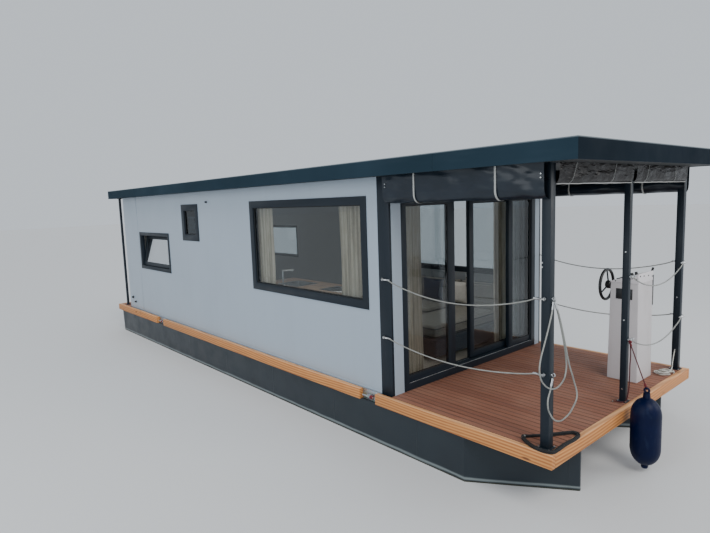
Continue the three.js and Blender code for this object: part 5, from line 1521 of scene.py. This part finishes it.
shell, dark_parts, metal = blanks(3)
lid_x = (console_edge(-1, LID_LOW), console_edge(1, LID_LOW))
inner_x = inset(lid_x, 0.003)
side_plate(shell, ((BOW - 0.508, DECK + APART), (BOW - 0.204, DECK + APART),
                   (inner_x[1], DECK + LID_LOW + 0.004), (inner_x[0], DECK + LID_LOW + 0.004)),
           inset(CONSOLE_Y, 0.003), 0.007, 4)
side_plate(shell, ((lid_x[0], DECK + LID_LOW), (lid_x[1], DECK + LID_LOW),
                   (CONSOLE_FORE, DECK + LID_FORE), (CONSOLE_AFT, DECK + LID_AFT)), CONSOLE_Y, 0.005, 4)
block(dark_parts, (BOW - 0.432, CONSOLE_Y[0] - 0.002, DECK + 0.872),
      (BOW - 0.270, CONSOLE_Y[0] + 0.004, DECK + 0.982), 0.002)
fore_x = console_edge(1, 1.1)
for y, height in ((0.640, 1.118), (0.733, 1.112), (0.850, 1.104), (0.954, 1.086)):
    rod(dark_parts, (fore_x - 0.001, y, DECK + height), (fore_x + 0.005, y, DECK + height), 0.008, 0.006, 12)
for x, height in ((-0.234, 1.089), (-0.274, 1.094), (-0.350, 1.072), (-0.440, 1.058)):
    screw = Vector((BOW + x, CONSOLE_Y[0] + 0.001, DECK + height))
    rod(dark_parts, screw, screw - Vector((0, 0.005, 0)), 0.007, 0.005, 12)
top_way = on_slope(0, 0, 1) - on_slope(0, 0)
DIAL = ((0, 0.004), (0.037, 0.004), (0.038, 0.009), (0.043, 0.009), (0.045, 0), (0, 0))
KNOB = ((0, 0.030), (0.012, 0.030), (0.015, 0.022), (0.015, 0.004), (0.020, 0.003), (0.020, 0), (0, 0))
for across in (0.668, 0.775):
    add(dark_parts, turned(DIAL, 32), facing(on_slope(0.085, across, 0.0002), top_way))
for across, along in ((0.640, 0.215), (0.720, 0.225), (0.860, 0.060)):
    add(dark_parts, turned(KNOB, 20), facing(on_slope(along, across), top_way))
lever, lever_top = Vector((BOW - 0.275, 1.052, DECK + 1.050)), Vector((BOW - 0.245, 1.052, DECK + 1.150))
block(dark_parts, (lever.x - 0.036, CONSOLE_Y[1] - 0.001, DECK + 0.760),
      (lever.x + 0.050, CONSOLE_Y[1] + 0.060, DECK + 1.090), 0.008, 3)
rod(metal, (lever.x, CONSOLE_Y[1] + 0.055, lever.z), (lever.x, CONSOLE_Y[1] + 0.080, lever.z), 0.014)
rod(metal, lever, lever_top, 0.0075)
grip = turned(((0, -0.034), (0.009, -0.032), (0.012, -0.012), (0.012, 0.010), (0.008, 0.016), (0, 0.017)), 16)
add(dark_parts, grip, facing(lever_top, lever_top - lever))
WHEEL = Vector((BOW - 0.609, (CONSOLE_Y[0] + CONSOLE_Y[1]) / 2, DECK + 0.983))
shaft_foot = Vector((CONSOLE_AFT + 0.002, WHEEL.y, WHEEL.z))
rod(dark_parts, shaft_foot - Vector((0.020, 0, 0)), shaft_foot, 0.034, 0.038, 32)
moulded_black = cloudy("moulded_black", {"Roughness": 0.42}, (0.05, 0x121416, 0x202327),
                       grain=(0.0012, 0.00015))
assembled("helm_console", "console_grp", (
    ("shell", shell, moulded), ("fittings", dark_parts, moulded_black),
    ("lever", metal, bright_steel)), angle=40)

# The steering wheel has a thick soft rim on three dark steel spokes and turns on a short shaft.
RIM_RADIUS = 0.160
rim_shape, metal = blanks(2)
ring(rim_shape, WHEEL, (1, 0, 0), RIM_RADIUS + 0.003, 0.0155, 16, 64)
BOSS = ((0, -0.008), (0.030, -0.007), (0.041, 0), (0.044, 0.010), (0.044, 0.042), (0.038, 0.050), (0, 0.050))
add(rim_shape, turned(BOSS, 32), facing(WHEEL, (1, 0, 0)))
rod(metal, WHEEL + Vector((0.040, 0, 0)), (CONSOLE_AFT - 0.0185, WHEEL.y, WHEEL.z), 0.013)
for turn in (90, 210, 330):
    angle = math.radians(turn)
    rod(metal, WHEEL + Vector((0.020, 0, 0)),
        WHEEL + Vector((0, math.cos(angle) * RIM_RADIUS, math.sin(angle) * RIM_RADIUS)), 0.0085, 0.0075, 16)
assembled("steering_wheel", "wheel_rubber", (
    ("rim", rim_shape, moulded_black), ("spokes", metal, powder_coat)), "helm")

# The fender is a blown navy vinyl balloon with a moulded rope eye. It hangs outside the bow rail
# on a dark red lanyard from the middle post's lower eye, and the lanyard's spare end hangs to the deck.
FENDER = Vector((BOW + 0.165, -0.150, 0))
FENDER_RADIUS, DOME = 0.125, 0.162
low_end, high_end = DECK - 0.480, DECK + 0.150
dome = [(FENDER_RADIUS * math.sin(angle), DOME * (1 - math.cos(angle)))
        for angle in (math.radians(14 + 76 * i / 9) for i in range(10))]
profile = [(0, low_end - 0.030), (0.024, low_end - 0.030), (0.029, low_end - 0.020), (0.031, low_end + 0.002)]
profile += [(radius, low_end + rise) for radius, rise in dome]
profile += [(radius, high_end - rise) for radius, rise in reversed(dome)]
profile += [(0.031, high_end), (0.029, high_end + 0.022), (0.027, high_end + 0.044), (0, high_end + 0.045)]
vinyl = Finish("fender_vinyl", {"Specular IOR Level": 0.14})
scuff = vinyl.between(vinyl.noise(0.03, (1, 1, 3), detail=5.0), 0.55, 0.75)
vinyl_tone = vinyl.mix(vinyl.noise(0.2), shade(0x020922), shade(0x06143C))
vinyl.set("Base Color", vinyl.mix(scuff * 0.3, vinyl_tone, shade(0x27344E)))
vinyl.set("Roughness", vinyl.between(scuff, 0.0, 1.0, 0.4, 0.65))
vinyl.bump(vinyl.noise(0.05, (1, 1, 5)), 0.002)
balloon = bmesh.new()
add(balloon, turned(profile, 48), Matrix.Translation(FENDER))
near, far = FENDER_RADIUS - 0.004, FENDER_RADIUS - APART
for z in (low_end + DOME, high_end - DOME):
    seam = ((near, z - 0.005), (far, z), (near, z + 0.005))
    add(balloon, turned(seam, 48, closed=True), Matrix.Translation(FENDER))
eye_z = high_end + 0.066
ring(balloon, (FENDER.x, FENDER.y, eye_z), (0, 1, 0), 0.0195, 0.0095, 14, 32)
fender_body = piece("fender_balloon", balloon, vinyl, angle=50)
maroon = laid_rope("maroon_lanyard", 44, 0x2E1016, 0x6E2731, {"Roughness": 0.8})
LANYARD = 0.005
middle_eye = bow_eye("post_middle", EYE_HEIGHTS[0])
hang_from = middle_eye - Vector((0, 0, 0.0186))
hang_to = Vector((FENDER.x, FENDER.y, eye_z + 0.006))
taut = [hang_from.lerp(hang_to, i / 15) for i in range(16)]
lanyard = line("fender_lanyard", taut, LANYARD, maroon)
knots = bmesh.new()
way = (hang_to - hang_from).normalized()
for spot, turn in ((0.012, 0.2), (0.024, -0.2), (0.036, 0.2)):
    ring(knots, hang_from + way * spot, way + Vector((0, turn, 0)), 0.0062, 0.0048, 8, 18)
    ring(knots, hang_to - way * (spot + 0.016), way + Vector((0, turn, 0)), 0.0062, 0.0048, 8, 18)
for along, tilt in ((-0.006, 0.5), (0, -0.3), (0.006, 0.4)):
    ring(knots, middle_eye + Vector((0.004, along, -0.017)), (0.3, 1, tilt), 0.0105, 0.0048, 8, 18)
hitches = piece("fender_lanyard_hitches", knots, red_cord)
for made in (fender_body, lanyard, hitches):
    stand_in(made, "fender", "fender_vinyl")
TAIL = ((0.002, 0.004, -0.026), (0.004, 0.010, -0.070), (0.006, 0.014, -0.150), (0.004, 0.010, -0.250),
        (0.006, 0.004, -0.350), (0.004, 0.002, -0.450), (-0.002, -0.004, -0.530), (-0.010, -0.012, -0.575))
TAIL_ON_DECK = ((-0.022, -0.030), (-0.034, -0.052), (-0.054, -0.064), (-0.078, -0.062), (-0.098, -0.070),
                (-0.112, -0.086))
tail = [middle_eye + Vector(offset) for offset in TAIL]
tail += [Vector((middle_eye.x + x, middle_eye.y + y, DECK + 0.0055)) for x, y in TAIL_ON_DECK]
spare = line("lanyard_tail", tail, LANYARD, maroon)
whipping = bmesh.new()
for i in range(4):
    way = (tail[-2] - tail[-1]).normalized()
    ring(whipping, tail[-1] + way * (0.002 + i * 0.0026), way, 0.0050, 0.0012, 6, 18)
end_whipping = piece("lanyard_tail_whipping", whipping, rope_sheath)

# The outboard motor hangs on a steel transom bracket behind the aft deck, between the pontoons.
# It tilts on the bracket's cross pin and steers in the swivel, and its leg is one painted casting.
TRANSOM = STERN - 0.330
PROP_Z, PLATE_Z = 0.155, 0.278
PROP_X = TRANSOM - 0.405
dress("motor_bracket", frame_paint)
casting = cloudy("motor_casting", {"Metallic": 0.15, "Coat Weight": 0.4, "Coat Roughness": 0.2},
                 (0.12, 0x2A2E33, 0x3B4046), (0.05, 0.3, 0.45), (0.003, 0.0002))
dress("motor_swivel", casting)
cowl_paint = cloudy("cowl_paint", {"Coat Weight": 0.8, "Coat Roughness": 0.06, "Roughness": 0.3},
                    (0.3, 0x2B3036, 0x353B42))


def motor_plate(shape, outline, half, soft, segments=3):
    """A plate on both sides of the motor's middle, its outline given from the transom."""
    side_plate(shape, [(TRANSOM + x, z) for x, z in outline], (-half, half), soft, segments)


cowl = bmesh.new()
motor_plate(cowl, ((-0.110, 0.905), (-0.084, 1.000), (-0.090, 1.190), (-0.130, 1.275), (-0.330, 1.300),
                   (-0.440, 1.262), (-0.482, 1.120), (-0.462, 0.960), (-0.400, 0.890)), 0.165, 0.034, 5)
cowl_top = piece("motor_cowl", cowl, cowl_paint, "motor_steer", angle=60)
leg, detail = blanks(2)
block(leg, (TRANSOM - 0.330, -0.062, 0.780), (TRANSOM - 0.172, 0.062, 0.920), 0.014, 3)
motor_plate(leg, ((-0.320, 0.860), (-0.172, 0.860), (-0.180, 0.400), (-0.200, PLATE_Z), (-0.330, PLATE_Z),
                  (-0.330, 0.400)), 0.034, 0.014)
motor_plate(leg, ((-0.200, PLATE_Z + 0.020), (-0.190, 0.190), (-0.230, PROP_Z), (-0.370, PROP_Z),
                  (-0.340, PLATE_Z + 0.020)), 0.022, 0.010)
plate_half = ((-0.190, 0.030), (-0.260, 0.072), (-0.450, 0.088), (-0.478, 0.050))
plate_edge = [*plate_half, *[(x, -y) for x, y in reversed(plate_half)]]
plate(leg, [(TRANSOM + x, y, PLATE_Z - 0.004) for x, y in plate_edge], (0, 0, 0.008), 0.002, 2)
gearcase = turned(((0, 0.259), (0.014, 0.255), (0.034, 0.225), (0.044, 0.180), (0.046, 0.120), (0.045, 0.060),
                   (0.040, APART), (0, APART)), 32)
add(leg, gearcase, facing((PROP_X, 0, PROP_Z), (1, 0, 0)))
motor_plate(leg, ((-0.240, PROP_Z - 0.020), (-0.300, 0.034), (-0.360, 0.030), (-0.375, PROP_Z - 0.020)),
            0.005, 0.002, 2)
STEER_X = TRANSOM - 0.115
block(leg, (TRANSOM - 0.180, -0.036, 0.858), (STEER_X + 0.034, 0.036, 0.915), 0.006)
block(leg, (TRANSOM - 0.190, -0.036, 0.430), (STEER_X + 0.030, 0.036, 0.464), 0.006)
rod(leg, (STEER_X, 0, 0.440), (STEER_X, 0, 0.872), 0.013)
leg_made = piece("motor_leg", leg, casting, "motor_steer", angle=50)
motor_plate(detail, ((-0.1014, 0.945), (-0.097384, 0.962), (-0.465852, 0.962), (-0.463844, 0.945)),
            0.1655, 0.002, 2)
block(detail, (TRANSOM - 0.110, -0.040, 1.060), (TRANSOM - 0.083, 0.040, 1.085), 0.006, 3)
trim_made = piece("motor_cowl_trim", detail, moulded_black, "motor_steer")
for made in (cowl_top, leg_made, trim_made):
    stand_in(made, "outboard_motor", "motor_paint")

# The propeller has three cast alloy blades on a hub that is hollowed at its aft end.
PROP_RADIUS, HUB_LONG = 0.117, 0.076
cast_alloy = cloudy("cast_alloy", {"Metallic": 0.9}, (0.03, 0x6E7378, 0x9BA0A4), (0.02, 0.25, 0.5))
screw = bmesh.new()
hub = ((0, 0), (0.034, 0), (0.034, 0.060), (0.030, HUB_LONG), (0.016, HUB_LONG), (0.012, 0.070), (0, 0.070))
add(screw, turned(hub, 32), facing((PROP_X, 0, PROP_Z), (-1, 0, 0)))
for turn in (0, 120, 240):
    blade = bmesh.new()
    bmesh.ops.create_grid(blade, x_segments=10, y_segments=10, size=0.5)
    for vert in blade.verts:
        out, side_way = vert.co.x + 0.5, vert.co.y * 2
        reach = 0.028 + out * (PROP_RADIUS - 0.036) * (1 - 0.18 * side_way * side_way)
        chord = 0.020 + 0.030 * math.sin(math.pi * min(out * 0.62 + 0.12, 1))
        twist = math.radians(58 - 30 * out)
        wide = chord * side_way
        vert.co = (wide * math.sin(twist), reach, wide * math.cos(twist))
    bmesh.ops.solidify(blade, geom=blade.faces[:], thickness=0.004)
    bmesh.ops.recalc_face_normals(blade, faces=blade.faces)
    place = Matrix.Translation((PROP_X - HUB_LONG / 2, 0, PROP_Z))
    add(screw, blade, place @ Matrix.Rotation(math.radians(turn), 4, "X"))
assembled("propeller", "propeller_alloy", (("casting", screw, cast_alloy),), "propeller", 40)
